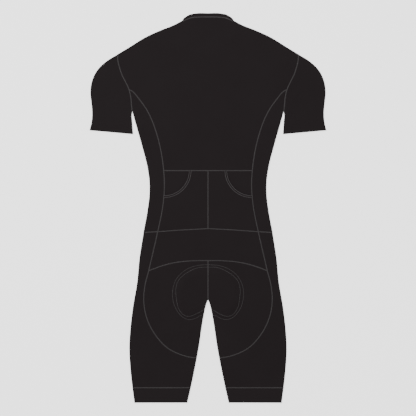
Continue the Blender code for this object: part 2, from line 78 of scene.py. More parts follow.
# Places along the body
POCKET_TOP = 99.0 * MM
WAIST_AT_CENTRE = -54.5 * MM
WAIST_AT_SIDE = -64.5 * MM
WAIST_AT_SIDE_BACK = -62.7 * MM
SEAT_CORNER = -166.0 * MM
CROTCH = -241.5 * MM
PAD_END = -284.0 * MM
INSEAM_CORNER = -397.1 * MM
BAND_SEAM = -476.4 * MM
HEM = -516.4 * MM
THIGH_AT_CROTCH = -290.0 * MM
THIGH_AT_INSEAM = -405.0 * MM

# Pocket: its mouths are quarter rounds, each bound with a folded tape
MOUTH_CENTRE = 116.1 * MM
MOUTH_RADIUS = 65.7 * MM
PANEL_RADIUS = MOUTH_RADIUS + 5.6 * MM
TUCKED_RADIUS = MOUTH_RADIUS + 1.4 * MM
TAPE_WALL = 0.35 * MM
LEAF_LEVEL = WALL / 2 + 0.05 * MM + TAPE_WALL / 2
TAPE_EDGE_RADIUS = PANEL_RADIUS + 0.7 * MM
BINDING_ROWS = (("edge", MOUTH_RADIUS + 0.7 * MM), ("inner", PANEL_RADIUS))
# Near the seams that hold the pocket, its two layers sink and the panels beside them rise
POCKET_RISE = 0.5 * MM + WALL
SEAM_RISE = 0.45 * MM
LOWER_DROP = 0.9 * MM
SEAM_EASE = 6.0 * MM

# Seat pad
PAD_RISE = 5.0 * MM
PAD_SLOPE = 26.0 * MM
PAD_ROUNDING = 1.5
PAD_FOOT = FRONT_TOP + 0.3 * MM
PAD_INSET = 1.0 * MM
PAD_RIM = 0.4 * MM
CHANNEL_DEPTH = 0.35 * MM
CHANNEL_PITCH = 14.0 * MM

# Front zip
ZIP_HALF_OPENING = 4.0 * MM
ZIP_TOP = 430.0 * MM
TOOTH_PITCH = 1.5 * MM
TOOTH_RADIUS = 0.36 * MM
TOOTH_HEEL = 0.4 * MM
TOOTH_REACH = 2.7 * MM
TOOTH_LEVEL = 0.85 * MM
TEETH_TOP = ZIP_TOP - 13.0 * MM
TAPE_HALF_WIDTH = 8.5 * MM
TAPE_SPLIT = 1.0 * MM
TAPE_LEVEL = FRONT_TOP + 0.35 * MM
ZIP_ROW_ACROSS = 7.0 * MM
ZIP_ROW_INSET = 2.0 * MM
# Its slider: shares of the body's own size, and the rounding of its edges
SLIDER_TAIL = 0.72
SLIDER_CHANNEL_HEIGHT = 0.2
SLIDER_CHANNEL_START = 0.3
SLIDER_CHANNEL_WIDTH = 0.78
SLIDER_ROUNDING = 0.3 * MM
# Its pull: a tape folded lengthwise, on a wire ring
PULL_LEVEL = 0.29 * MM
PULL_WALL = 0.15 * MM
PULL_LEAF_LEVEL = 0.115 * MM
PULL_CORNER = 1.6 * MM
PULL_ROW_INSETS = (2.6 * MM, 3.6 * MM)
PULL_ROW_MARGIN = 0.4 * MM
RING_RADIUS = 1.5 * MM
WIRE_RADIUS = 0.18 * MM

# Sewing thread
THREAD_SIDES = 5
THREAD_RADIUS = 0.17 * MM
THREAD_LEVEL = 0.21 * MM
THREAD_ARCH = 0.06 * MM
THREAD_DIP = 0.12 * MM
# Threads on the underside are pressed to this share of their height
PRESSED = 0.5
FLATLOCK_PITCH = 2.4 * MM
FLATLOCK_HALF_WIDTH = 1.15 * MM
# One stitch of it, each row one thread: from and to (along, in pitches, and across, in
# half widths), and thickness
FLATLOCK_STITCH = ((0.05, -1, 0.43, 1, 1.0), (0.55, -1, 0.93, 1, 1.0),
                   (0.02, -1, 0.98, -1, 0.95), (0.02, 1, 0.98, 1, 0.95))
# The bed of looped thread below it: across, in half widths, and height (mm)
BED = ((-1.0, 0.03), (-0.8, 0.10), (0.0, 0.13), (0.8, 0.10), (1.0, 0.03), (1.0, 0.01),
       (-1.0, 0.01))
BED_SHARE = 1.25
# Narrower seams: on the bindings and round the pad
BINDING_SHARE = 0.5
PAD_SHARE = 0.45
LOCK_PITCH = 2.6 * MM

# Outlines and seams of the right half, each row one point: across, along (mm)
NECK_EDGE = ((0, 516.3), (29, 516.3), (43, 514.2))
NECK_FOLD = ((68.4, 496.2), (67.2, 498.8), (62.5, 504.4), (52, 511), (44, 515.8))
NECK_SEAM = ((0, 506.3), (26, 506.3), (44, 505.2), (58, 500.8), (68.4, 496.2))
FRONT_NECK_SEAM = ((4, 430), (22, 433), (43, 446), (60, 467), (67.4, 484), (68.4, 496.2))
FRONT_NECK_EDGE = ((4, 440), (18, 443), (36, 455), (50, 474), (56, 492), (56.5, 505))
SHOULDER = ((68.4, 496.2), (87.2, 486.1), (127.2, 470), (161.7, 454.3), (213.9, 422.5),
            (240.4, 406.6))
SLEEVE_TOP = ((240.4, 406.6), (266.6, 390.7), (285.4, 374.8), (299.5, 356), (308.5, 333),
              (311.9, 306), (309.3, 279.4), (307, 252), (308.5, 228), (313.8, 206))
ARMHOLE = ((239.4, 404.9), (239, 392), (235.1, 374.8), (228.2, 353.6), (217.6, 332.4),
           (209.4, 314), (204.2, 290), (202.5, 270), (200.8, 257.6))
SLEEVE_UNDER = ((201.1, 255.6), (202.3, 246), (201.4, 231.7), (198.8, 195.7))
TORSO_SIDE = ((200.2, 255.6), (193.7, 231.7), (175.7, 168.1), (159.8, 104.5), (155.4, 72),
              (154.9, 42), (160.3, -6.8), (171, -64.5))
HIP_SIDE = ((171, -64.5), (181.8, -134), (188, -197.6), (198.8, -261.2), (206.2, -324.8),
            (208.6, -364.5), (204.8, -436.1), (200.3, -476.4), (195, -516.4))
INNER_LEG = ((0.4, -243.4), (2.9, -249), (6.6, -261.2), (13, -293), (25.2, -372.5),
             (34.2, -420.2), (44, -467.9), (55.1, -516.4))
SIDE_BACK = ((209.4, 314), (201.9, 310.2), (183.6, 290), (166, 266), (150.5, 237),
             (138.6, 205.2), (123, 141.6), (117.4, 99), (115.5, 62.1), (120.6, -1.5),
             (133.2, -62.7), (157, -166))
SEAT_ROUND = ((157, -166), (167.5, -208.2), (170.2, -242.6), (166.2, -277.1),
              (155.3, -308.9), (136.2, -340.7), (104.7, -372.5), (73.4, -387.8),
              (41.1, -396), (29.2, -396.8))
SEAT_ARCH = ((0, -139.3), (41.1, -139.8), (88.8, -144.8), (120.6, -152.8), (157, -166))
WAIST_BACK = ((0, -54.5), (72.9, -58.4), (133.2, -62.7))
WAIST_FRONT = ((4, -54.5), (72.9, -58.4), (133.2, -62.7), (171, -64.5))
PAD_OUTLINE = ((0, -150), (30.5, -152.8), (57, -162.8), (76, -178), (87.5, -195.4),
               (94.1, -224.1), (90, -255), (76.1, -280.2), (64, -291), (50, -295.6),
               (33, -292), (19, -284))
PAD_INNER_ROW = ((0, -156.5), (25, -157.9), (50, -168.2), (67.5, -180), (79, -193.2),
                 (85.2, -215), (83.6, -240), (76.6, -268.8), (64, -283.6), (51.5, -287),
                 (34, -281.6), (17.5, -273), (10.6, -268.4))

# Soft creases of the back: from and to (across, along), height and half width (mm)
CREASES = ((196, 262, 148, 292, 0.95, 7), (197, 246, 132, 252, -0.60, 8),
           (190, 226, 140, 206, 0.80, 8), (207, 268, 258, 334, 0.90, 8),
           (213, 246, 282, 296, -0.60, 9), (212, 224, 272, 240, 0.60, 7),
           (154, 62, 96, 74, 0.62, 9), (153, 30, 108, 22, -0.50, 8),
           (158, -4, 118, -14, 0.52, 7), (72, 470, 46, 424, 0.55, 9),
           (216, 404, 186, 366, 0.70, 9), (182, -128, 134, -118, 0.55, 8),
           (24, -304, 92, -322, 0.80, 8), (30, -336, 104, -352, -0.55, 9),
           (40, -430, 92, -420, 0.62, 8), (194, -404, 150, -424, 0.60, 9),
           (150, 176, 108, 166, 0.55, 8), (60, -92, 118, -106, -0.40, 9),
           (20, 452, 96, 446, 0.50, 11), (30, 250, 40, 160, 0.45, 12),
           (176, -250, 196, -330, 0.55, 9))
# A crease is highest at this share of its length, and fades over this share either way
CREASE_PEAK = 0.4
CREASE_FADE = 0.42
# Side, shift along the body and share of the height: the left side's are lower and fainter
CREASE_SIDES = ((1, 0.0, 1.0), (-1, -11.0 * MM, 0.8))
# Broad waves: length across, length along (mm), height (mm) and phase
WAVES = ((230, 310, 0.16, 0.4), (140, 190, 0.10, 2.1), (95, 420, 0.08, 4.0))

# Spans into which each stretch of seam or edge is divided
NECK_SPANS = 40
NECK_FOLD_SPANS = 12
FRONT_NECK_SPANS = 40
SHOULDER_SPANS = 40
ARMHOLE_UPPER_SPANS = 28
ARMHOLE_LOWER_SPANS = 18
SIDE_CORNER_SPANS = 8
SLEEVE_CORNER_SPANS = 22
SLEEVE_UNDER_SPANS = 16
SIDE_BACK_UPPER_SPANS = 48
SIDE_BACK_MOUTH_SPANS = 14
SIDE_BACK_LOWER_SPANS = 18
SIDE_BACK_HIP_SPANS = 20
MOUTH_SPANS = 24
ARCH_SPANS = 32
ROUND_SPANS = 70
PAD_CORNER_SPANS = 30
ABOVE_PAD_SPANS = 4
CENTRE_BACK_SPANS = 26
PAD_LEG_SPANS = 16
LOWER_LEG_SPANS = 18
LEG_SPANS = 20
SHIN_SPANS = 16
BAND_SPANS = 8
ZIP_SPANS = 60
ZIP_TAPE_SPANS = 3
LEAF_SPANS = 2
LEAF_BEND_SPANS = 8
PULL_SPANS = 13
PULL_CORNER_SPANS = 8
PULL_BEND_SPANS = 6
PULL_LEAF_SPANS = 5
PULL_ROW_SPANS = 8

# How far the neck's cut edge runs back along the fold on its way to the front
NECK_CUT_SLANT = 16.0 * MM
CURVE_STEPS = 24
MERGE_DISTANCE = 0.001 * MM
SHARPEST_MITRE = 0.5
SLOPE_STEP = 0.3 * MM

# Finishes: sheen, specular level, depth of the relief (mm), and the darkest and the
# lightest colour (linear)
LOOKS = {
    "knit": (0.10, 0.10, 0.09, (0.0120, 0.0088, 0.0096), (0.0196, 0.0152, 0.0163)),
    "band": (0.10, 0.10, 0.14, (0.0120, 0.0088, 0.0096), (0.0215, 0.0168, 0.0180)),
    "tape": (0.10, 0.10, 0.06, (0.0125, 0.0092, 0.0100), (0.0225, 0.0176, 0.0188)),
    "thread": (0.15, 0.25, 0.05, (0.035, 0.0305, 0.032), (0.064, 0.057, 0.059)),
    "pale thread": (0.15, 0.25, 0.05, (0.052, 0.046, 0.048), (0.094, 0.085, 0.088)),
    "fleece": (0.35, 0.12, 0.30, (0.014, 0.012, 0.013), (0.030, 0.028, 0.029)),
    "weave": (0.08, 0.20, 0.06, (0.012, 0.012, 0.013), (0.024, 0.024, 0.026)),
    "nylon": (0.0, 0.40, 0.02, (0.012, 0.012, 0.013), (0.024, 0.024, 0.026)),
    "lacquer": (0.0, 0.50, 0.02, (0.014, 0.014, 0.015), (0.070, 0.068, 0.066))}
# Pitches of the knit's and the weaves' rows
WALE = 0.8 * MM
COURSE = 0.62 * MM
BAND_RIB = 1.5 * MM
BAND_PICK = 0.7 * MM
TWILL = 0.9 * MM
ZIP_PICK = 0.6 * MM
TWISTS_PER_BED_ROW = 3.0

# Camera, light and floor
VIEW_WIDTH = 1102.4 * MM
VIEW_LENS = 150.0
VIEW_SENSOR = 36.0
SKY_STRENGTH = 0.57
LAMP_PLACE = (-1.0, 1.0, 2.7)
LAMP_TURN = (math.radians(-20), math.radians(-20), 0.0)
LAMP_SIZE = 2.0
LAMP_POWER = 60.0
FLOOR_SIZE = 40.0
FLOOR_LEVEL = -0.2 * MM
FLOOR_PALE = (0.90, 0.90, 0.90, 1.0)
FLOOR_GLOW = 1.9


# ---- Plan geometry

def curve(table):
    """A closely spaced smooth line through the points of a table, in metres."""
    points = np.array(table) * MM
    spans = np.diff(points, axis=0)
    lengths = np.hypot(spans[:, 0], spans[:, 1])[:, None]
    slopes = spans / lengths
    inner = (slopes[:-1] * lengths[1:] + slopes[1:] * lengths[:-1]) / (lengths[:-1] + lengths[1:])
    tangents = np.vstack((slopes[:1], inner, slopes[-1:]))
    line = []
    for index, length in enumerate(lengths):
        for step in range(CURVE_STEPS):
            t = step / CURVE_STEPS
            line.append((2 * t ** 3 - 3 * t ** 2 + 1) * points[index]
                        + (3 * t ** 2 - 2 * t ** 3) * points[index + 1]
                        + (t ** 3 - 2 * t ** 2 + t) * length * tangents[index]
                        + (t ** 3 - t ** 2) * length * tangents[index + 1])
    line.append(points[-1])
    return np.array(line)


def run_length(points):
    """The length of a line from its start to each of its points."""
    steps = np.linalg.norm(np.diff(points, axis=0), axis=1)
    return np.concatenate(([0.0], np.cumsum(steps)))


def stretch(table, spans, start=None, end=None):
    """Evenly spaced points of a table's line, between two places along the body."""
    line = curve(table)
    length = run_length(line)
    order = np.argsort(line[:, 1])
    places = line[order, 1]
    first = 0.0 if start is None else np.interp(start, places, length[order])
    last = length[-1] if end is None else np.interp(end, places, length[order])
    spots = np.linspace(first, last, spans + 1)
    return np.column_stack([np.interp(spots, length, line[:, axis]) for axis in (0, 1)])


def straight(start, end, spans):
    """Evenly spaced points from one plan point to another."""
    return np.linspace(start, end, spans + 1)


def joined(*lines):
    """One line made of several that follow each other end to start."""
    return np.vstack([lines[0]] + [line[1:] for line in lines[1:]])


def refit(line, start, end):
    """The same line, shifted gradually so that it starts and ends elsewhere."""
    share = np.linspace(0.0, 1.0, len(line))[:, None]
    return line + (1 - share) * (start - line[0]) + share * (end - line[-1])


def unit(vectors):
    """The same directions, each of length 1."""
    return vectors / np.linalg.norm(vectors, axis=1)[:, None]


def turned_in(edge, side, first_away=None):
    """Plan directions out of a folded edge, and the line where the flat cloth ends."""
    run = unit(np.gradient(edge, axis=0))
    away = side * np.column_stack((-run[:, 1], run[:, 0]))
    if first_away is not None:
        away[0] = first_away
    return away, edge - OUTER_RADIUS * away


def patch(first, last, left, right):
    """Plan points inside four lines that meet at their ends."""
    rows = np.linspace(0.0, 1.0, len(left))[:, None, None]
    columns = np.linspace(0.0, 1.0, len(first))[None, :, None]
    across = (1 - columns) * left[:, None] + columns * right[:, None]
    down = (1 - rows) * first[None] + rows * last[None]
    corners = ((1 - rows) * (1 - columns) * first[0] + (1 - rows) * columns * first[-1]
               + rows * (1 - columns) * last[0] + rows * columns * last[-1])
    return across + down - corners


def ladder(left, right, spans):
    """Plan points of straight rungs between two lines."""
    return patch(straight(left[0], right[0], spans), straight(left[-1], right[-1], spans),
                 left, right)


def at_level(plan, level):
    """Plan points given a height, which is one number or one for each point."""
    height = np.broadcast_to(level, plan.shape[:-1])
    return np.concatenate((plan, height[..., None]), axis=-1)


def fold(line, away, turn):
    """Cloth turned over an edge, from one angle to another: 0 is the back."""
    steps = round((turn[1] - turn[0]) / TURN_STEP)
    angles = np.radians(np.linspace(*turn, steps + 1))
    plan = line[:, None] + FOLD_RADIUS * np.sin(angles)[None, :, None] * away[:, None]
    return at_level(plan, FOLD_LEVEL + FOLD_RADIUS * np.cos(angles))


def distance(points, line):
    """Distance of each plan point from a line."""
    start = line[:-1]
    span = line[1:] - start
    offset = points[..., None, :] - start
    share = np.clip((offset * span).sum(-1) / (span * span).sum(-1), 0.0, 1.0)
    gap = offset - share[..., None] * span
    return np.sqrt((gap * gap).sum(-1)).min(-1)


# ---- Lines of the suit

shoulder_away, shoulder_line = turned_in(stretch(SHOULDER, SHOULDER_SPANS), 1)

side_back_start = SIDE_BACK[0][1] * MM
armhole_upper = stretch(ARMHOLE, ARMHOLE_UPPER_SPANS, end=side_back_start)
armhole_lower = stretch(ARMHOLE, ARMHOLE_LOWER_SPANS, start=side_back_start)
armhole_upper[0] = shoulder_line[-1]
armhole_line = joined(armhole_upper, armhole_lower)

sleeve_rows = len(armhole_line) - SLEEVE_CORNER_SPANS + SLEEVE_UNDER_SPANS
sleeve_away, sleeve_line = turned_in(stretch(SLEEVE_TOP, sleeve_rows), 1, shoulder_away[-1])
under_away, under_line = turned_in(stretch(SLEEVE_UNDER, SLEEVE_UNDER_SPANS), -1)

mouth_end = POCKET_TOP - PANEL_RADIUS
side_back_upper = stretch(SIDE_BACK, SIDE_BACK_UPPER_SPANS, side_back_start, POCKET_TOP)
side_back_mouth = stretch(SIDE_BACK, SIDE_BACK_MOUTH_SPANS, POCKET_TOP, mouth_end)
side_back_lower = stretch(SIDE_BACK, SIDE_BACK_LOWER_SPANS, mouth_end, WAIST_AT_SIDE_BACK)
side_back_hip = stretch(SIDE_BACK, SIDE_BACK_HIP_SPANS, WAIST_AT_SIDE_BACK, SEAT_CORNER)
side_back_torso = joined(side_back_upper, side_back_mouth, side_back_lower)

torso_rows = len(side_back_torso) - 2 - (ARMHOLE_LOWER_SPANS - SIDE_CORNER_SPANS)
torso_away, torso_line = turned_in(stretch(TORSO_SIDE, torso_rows), 1)

seat_round = stretch(SEAT_ROUND, ROUND_SPANS)
seat_arch = stretch(SEAT_ARCH, ARCH_SPANS)
waist_back = refit(stretch(WAIST_BACK, ARCH_SPANS), np.array((0.0, WAIST_AT_CENTRE)),
                   side_back_lower[-1])

# The inner leg: from the crotch past the pad's end and the seat seam to the hem
shin_start = PAD_LEG_SPANS - 1 + LOWER_LEG_SPANS
band_start = shin_start + SHIN_SPANS
inner_away, inner_line = turned_in(joined(
    stretch(INNER_LEG, PAD_LEG_SPANS - 1, end=PAD_END),
    stretch(INNER_LEG, LOWER_LEG_SPANS, PAD_END, INSEAM_CORNER),
    stretch(INNER_LEG, SHIN_SPANS, INSEAM_CORNER, BAND_SEAM),
    stretch(INNER_LEG, BAND_SPANS, BAND_SEAM, HEM)), -1)
seat_round[-1] = inner_line[shin_start]

# The outer leg: one place for each row of the leg panel
seat_rows = ROUND_SPANS - shin_start - 1
outer_away, outer_line = turned_in(joined(
    stretch(HIP_SIDE, SIDE_BACK_HIP_SPANS, WAIST_AT_SIDE, SEAT_CORNER),
    stretch(HIP_SIDE, seat_rows, SEAT_CORNER, THIGH_AT_CROTCH),
    stretch(HIP_SIDE, shin_start + 1, THIGH_AT_CROTCH, THIGH_AT_INSEAM),
    stretch(HIP_SIDE, SHIN_SPANS, THIGH_AT_INSEAM, BAND_SEAM),
    stretch(HIP_SIDE, BAND_SPANS, BAND_SEAM, HEM)), 1)
outer_line[0] = torso_line[-1]
band_row = len(outer_line) - 1 - BAND_SPANS
waist_front = refit(stretch(WAIST_FRONT, FRONT_NECK_SPANS),
                    np.array((ZIP_HALF_OPENING, WAIST_AT_CENTRE)), torso_line[-1])
waist_side = straight(side_back_torso[-1], torso_line[-1], SIDE_CORNER_SPANS)

# Under the arm and at the crotch, the folds start straight down the body
straight_down = np.array((0.0, -1.0))
underarm = armhole_line[-1]
crotch_point = np.array((0.0, CROTCH))
under_fold, torso_fold, inner_fold = [
    (np.vstack((spot, line)), np.vstack((straight_down, away)))
    for spot, line, away in ((underarm, under_line, under_away),
                             (underarm, torso_line, torso_away),
                             (crotch_point, inner_line, inner_away))]

# The neck: its seam on both layers, and the fold between them
neck_top = np.array((0.0, NECK_SEAM[0][1] * MM))
neck_fold_away, neck_fold_line = turned_in(stretch(NECK_FOLD, NECK_FOLD_SPANS), -1,
                                           shoulder_away[0])
neck_fold_line[0] = shoulder_line[0]
neck_seam = refit(stretch(NECK_SEAM, NECK_SPANS), neck_top, shoulder_line[0])
front_neck_seam = refit(stretch(FRONT_NECK_SEAM, FRONT_NECK_SPANS),
                        np.array((ZIP_HALF_OPENING, ZIP_TOP)), shoulder_line[0])

# The pad's outline ends on the fold line of the inner leg
pad_spans = ARCH_SPANS + ROUND_SPANS
pad_outline = stretch(PAD_OUTLINE, pad_spans)
pad_outline[-1] = inner_line[PAD_LEG_SPANS - 1]
centre_back = straight(pad_outline[0], crotch_point, CENTRE_BACK_SPANS)
pad_inner = np.vstack((centre_back, inner_line[:PAD_LEG_SPANS]))
pad_plan = patch(pad_outline[:PAD_CORNER_SPANS + 1], pad_outline[:-PAD_CORNER_SPANS - 2:-1],
                 pad_inner, pad_outline[PAD_CORNER_SPANS:-PAD_CORNER_SPANS])

# The mouths, and the seams that hold the pocket: along its top between them, and below them
mouth_corner = np.array((MOUTH_CENTRE, POCKET_TOP))
mouth_turns = np.linspace(0.0, math.pi / 2, MOUTH_SPANS + 1)
mouth_rays = np.column_stack((-np.cos(mouth_turns), -np.sin(mouth_turns)))
pocket_top_seam = np.array(((0.0, POCKET_TOP), (MOUTH_CENTRE - PANEL_RADIUS, POCKET_TOP)))
pocket_foot_seam = joined(side_back_lower, waist_back[::-1])


# ---- Heights of the cloth

def plain_rise(points):
    """No rise at all."""
    return np.zeros(points.shape[:-1])


def pad_rise(points):
    """Height by which the pad lifts the seat, rounding up from the pad's outline."""
    share = np.clip(distance(points, pad_outline) / PAD_SLOPE, 0.0, 1.0)
    return PAD_RISE * np.sin(share * math.pi / 2) ** PAD_ROUNDING


def pocket_hold(points):
    """How near plan points are to the seams that hold the pocket, from 0 to 1."""
    gap = np.minimum(distance(points, pocket_top_seam), distance(points, pocket_foot_seam))
    return np.exp(-(gap / SEAM_EASE) ** 2)


def single_rise(points):
    """Rise of a single layer beside the pocket."""
    return SEAM_RISE * pocket_hold(points)


def pocket_rise(points):
    """Rise of the pocket's outer face above the back's."""
    return POCKET_RISE - (POCKET_RISE - SEAM_RISE) * pocket_hold(points)


def relief(points):
    """Soft creases and broad waves of the back, in real plan places of both sides."""
    height = np.zeros(len(points))
    for x0, y0, x1, y1, rise, width in CREASES:
        for side, shift, share in CREASE_SIDES:
            start = np.array((side * x0 * MM, y0 * MM + shift))
            span = np.array((side * x1 * MM, y1 * MM + shift)) - start
            offset = points - start
            along = (offset @ span) / (span @ span)
            off = (offset[:, 0] * span[1] - offset[:, 1] * span[0]) / np.linalg.norm(span)
            taper = np.exp(-((along - CREASE_PEAK) / CREASE_FADE) ** 2)
            height += share * rise * MM * taper * np.exp(-(off / (width * MM)) ** 2)
    for across, along, rise, phase in WAVES:
        turn = 2 * math.pi * (points[:, 0] / across + points[:, 1] / along) / MM
        height += rise * MM * np.sin(turn + phase)
    return height


def settled(points):
    """Points moved with the relief: not at all at the front, and all the way at the back."""
    share = np.clip((points[:, 2] - FRONT_LEVEL) / (BACK_LEVEL - FRONT_LEVEL), 0.0, 1.0)
    moved = points.copy()
    moved[:, 2] += share * relief(points[:, :2])
    return moved


# ---- Materials

class Value:
    """A number in a shader. Arithmetic on it adds Math nodes."""

    def __init__(self, finish, socket):
        self.finish = finish
        self.socket = socket

    def __add__(self, other):
        return self.finish.math("ADD", self, other)

    def __sub__(self, other):
        return self.finish.math("SUBTRACT", self, other)

    def __rsub__(self, other):
        return self.finish.math("SUBTRACT", other, self)

    def __mul__(self, other):
        return self.finish.math("MULTIPLY", self, other)

    def __truediv__(self, number):
        return self * (1.0 / number)

    __radd__ = __add__
    __rmul__ = __mul__

    def wave(self):
        """The sine of this many whole turns."""
        return self.finish.math("SINE", self * (2 * math.pi))

    def ridge(self):
        """A soft ridge for each whole turn, from 0 to 1."""
        return self.wave() * 0.5 + 0.5

    def size(self):
        """The number without its sign."""
        return self.finish.math("ABSOLUTE", self)

    def above(self, level, softness):
        """1 where the number is above a level, 0 below it, with a soft step between."""
        step = self.finish.node("ShaderNodeMapRange", {"clamp": True}, {
            "Value": self, "From Min": level - softness, "From Max": level + softness})
        return Value(self.finish, step.outputs["Result"])


class Finish:
    """A procedural material while it is made, with a look from the table."""

    def __init__(self, name, look):
        sheen, specular, self.depth, self.dark, self.light = LOOKS[look]
        self.material = bpy.data.materials.new(name)
        self.material.use_nodes = True
        self.tree = self.material.node_tree
        self.shader = self.tree.nodes["Principled BSDF"]
        self.shader.inputs["Sheen Weight"].default_value = sheen
        self.shader.inputs["Specular IOR Level"].default_value = specular

    def node(self, kind, settings, sockets):
        """Adds a node of a type, with its settings and what its sockets are fed."""
        made = self.tree.nodes.new(kind)
        for key, value in settings.items():
            setattr(made, key, value)
        for key, value in sockets.items():
            self.feed(made.inputs[key], value)
        return made

    def feed(self, socket, value):
        """Gives a socket a number, a colour or a link."""
        if isinstance(value, Value):
            value = value.socket
        if isinstance(value, bpy.types.NodeSocket):
            self.tree.links.new(value, socket)
        else:
            socket.default_value = value

    def math(self, operation, first, second=0.0):
        """One sum on numbers."""
        made = self.node("ShaderNodeMath", {"operation": operation}, {0: first, 1: second})
        return Value(self, made.outputs[0])

    def place(self, source, turn=0.0):
        """The two plan coordinates of the object, or of its UV map, turned in the plan."""
        spot = self.node("ShaderNodeTexCoord", {}, {}).outputs[source]
        turned = self.node("ShaderNodeMapping", {}, {"Vector": spot, "Rotation": (0, 0, turn)})
        axes = self.node("ShaderNodeSeparateXYZ", {}, {"Vector": turned.outputs[0]})
        return Value(self, axes.outputs["X"]), Value(self, axes.outputs["Y"])

    def cloud(self, size, detail):
        """Soft random patches of a size in millimetres, from 0 to 1."""
        spot = self.node("ShaderNodeTexCoord", {}, {}).outputs["Object"]
        noise = self.node("ShaderNodeTexNoise", {}, {
            "Vector": spot, "Scale": 1.0 / (size * MM), "Detail": detail})
        return Value(self, noise.outputs[0])

    def done(self, share, roughness, height):
        """Feeds the shader: a share between its colours, a roughness and a relief."""
        colour = self.node("ShaderNodeMix", {"data_type": "RGBA"}, {
            0: share, 6: (*self.dark, 1.0), 7: (*self.light, 1.0)})
        bump = self.node("ShaderNodeBump", {}, {
            "Height": height, "Distance": self.depth * MM, "Strength": 1.0})
        self.feed(self.shader.inputs["Base Color"], colour.outputs[2])
        self.feed(self.shader.inputs["Roughness"], roughness)
        self.feed(self.shader.inputs["Normal"], bump.outputs["Normal"])
        return self.material


def body_knit(name, turn):
    """Black warp-knit cloth: ribs along a panel's grain, with slanted loops along each, and
    painted shade in the grooves between them.
    """
    finish = Finish(name, "knit")
    across, along = finish.place("Object", math.radians(turn))
    rib = (across / (2 * WALE)).wave().size()
    loops = rib * ((along / COURSE + rib * 0.5).ridge() * 0.55 + 0.45)
    nap = finish.cloud(size=3.0, detail=4.0)
    tone = finish.cloud(size=90.0, detail=2.0)
    # The colour follows the loops' relief: painted shade darkens the grooves, painted light
    # brightens the loop tops; nap and tone are random tone.
    share = loops * 0.55 + nap * 0.25 + tone * 0.35
    roughness = 0.70 + nap * 0.12 + (1.0 - loops) * 0.10
    return finish.done(share, roughness, loops * 0.8 + nap * 0.5)


def band_knit():
    """Elastic band with fine ribs along the body, and painted shade in the grooves between the
    ribs.
    """
    finish = Finish("band_knit", "band")
    across, along = finish.place("Object")
    rib = (across / BAND_RIB).ridge()
    picks = (along / BAND_PICK).ridge()
    nap = finish.cloud(size=3.0, detail=4.0)
    height = rib * 0.8 + picks * (1.0 - rib) * 0.4
    # The colour follows the ribs' relief: painted shade in their grooves, painted light on their
    # tops; the nap is random tone.
    return finish.done(rib * 0.6 + nap * 0.4, 0.72 + nap * 0.15, height + nap * 0.2)


def binding_tape():
    """Folded elastic tape, twilled along its own length, with painted shade in the twill's
    grooves.
    """
    finish = Finish("binding_tape", "tape")
    along, across = finish.place("UV")
    twill = ((along + across) / TWILL).ridge()
    nap = finish.cloud(size=2.0, detail=3.0)
    # The colour follows the twill's relief: painted shade in its grooves, painted light on its
    # ridges; the nap is random tone.
    return finish.done(twill * 0.6 + nap * 0.4, 0.70 + nap * 0.15, twill + nap * 0.3)


def seam_thread(name, look):
    """Twisted charcoal sewing thread, with painted shade in the grooves of its twist."""
    finish = Finish(name, look)
    round_it, along = finish.place("UV")
    twist = (round_it + along * TWISTS_PER_BED_ROW).ridge()
    fuzz = finish.cloud(size=0.6, detail=3.0)
    # The colour follows the twist's relief: painted shade in its grooves, painted light on its
    # plies; the fuzz is random tone.
    return finish.done(twist * 0.5 + fuzz * 0.5, 0.62 + fuzz * 0.20, twist + fuzz * 0.3)


def pad_fleece():
    """Brushed fleece over foam."""
    finish = Finish("pad_fleece", "fleece")
    nap = finish.cloud(size=1.2, detail=6.0)
    tufts = finish.cloud(size=7.0, detail=2.0)
    return finish.done(nap * 0.6 + tufts * 0.4, 0.86 + nap * 0.10, nap + tufts * 0.6)


def zip_tape_weave():
    """Woven zip tape, with painted shade between its picks."""
    finish = Finish("zip_tape_weave", "weave")
    across, along = finish.place("Object")
    picks = ((across / ZIP_PICK).wave() * (along / ZIP_PICK).wave()).size()
    nap = finish.cloud(size=2.0, detail=3.0)
    # The colour follows the picks' relief: painted shade between them, painted light on their
    # tops; the nap is random tone.
    return finish.done(picks * 0.6 + nap * 0.4, 0.75 + nap * 0.12, picks + nap * 0.3)


def zip_nylon():
    """Moulded nylon of the zip's coil."""
    finish = Finish("zip_nylon", "nylon")
    haze = finish.cloud(size=1.5, detail=2.0)
    return finish.done(haze, 0.38 + haze * 0.18, haze)


def slider_lacquer():
    """Black lacquer on metal, rubbed thin in small spots."""
    finish = Finish("slider_lacquer", "lacquer")
    scuffs = finish.cloud(size=1.1, detail=5.0)
    worn = scuffs.above(level=0.62, softness=0.05)
    finish.feed(finish.shader.inputs["Metallic"], worn * 0.9)
    return finish.done(worn, 0.34 + scuffs * 0.20, scuffs)


def pale_floor():
    """A pale light table, lit from below so that it throws no shadow."""
    material = bpy.data.materials.new("pale_floor")
    material.use_nodes = True
    sockets = material.node_tree.nodes["Principled BSDF"].inputs
    for name, value in (("Base Color", FLOOR_PALE), ("Emission Color", FLOOR_PALE),
                        ("Emission Strength", FLOOR_GLOW), ("Roughness", 1.0),
                        ("Specular IOR Level", 0.0)):
        sockets[name].default_value = value
    return material


torso_knit = body_knit("body_knit", 0)
sleeve_knits = (body_knit("sleeve_knit_right", -24), body_knit("sleeve_knit_left", 24))
leg_knits = (body_knit("leg_knit_right", 5), body_knit("leg_knit_left", -5))
band_finish = band_knit()
binding_finish = binding_tape()
thread_finish = seam_thread("seam_thread", "thread")
pale_thread_finish = seam_thread("binding_thread", "pale thread")
fleece_finish = pad_fleece()
zip_tape_finish = zip_tape_weave()
nylon_finish = zip_nylon()
lacquer_finish = slider_lacquer()


# ---- Cloth

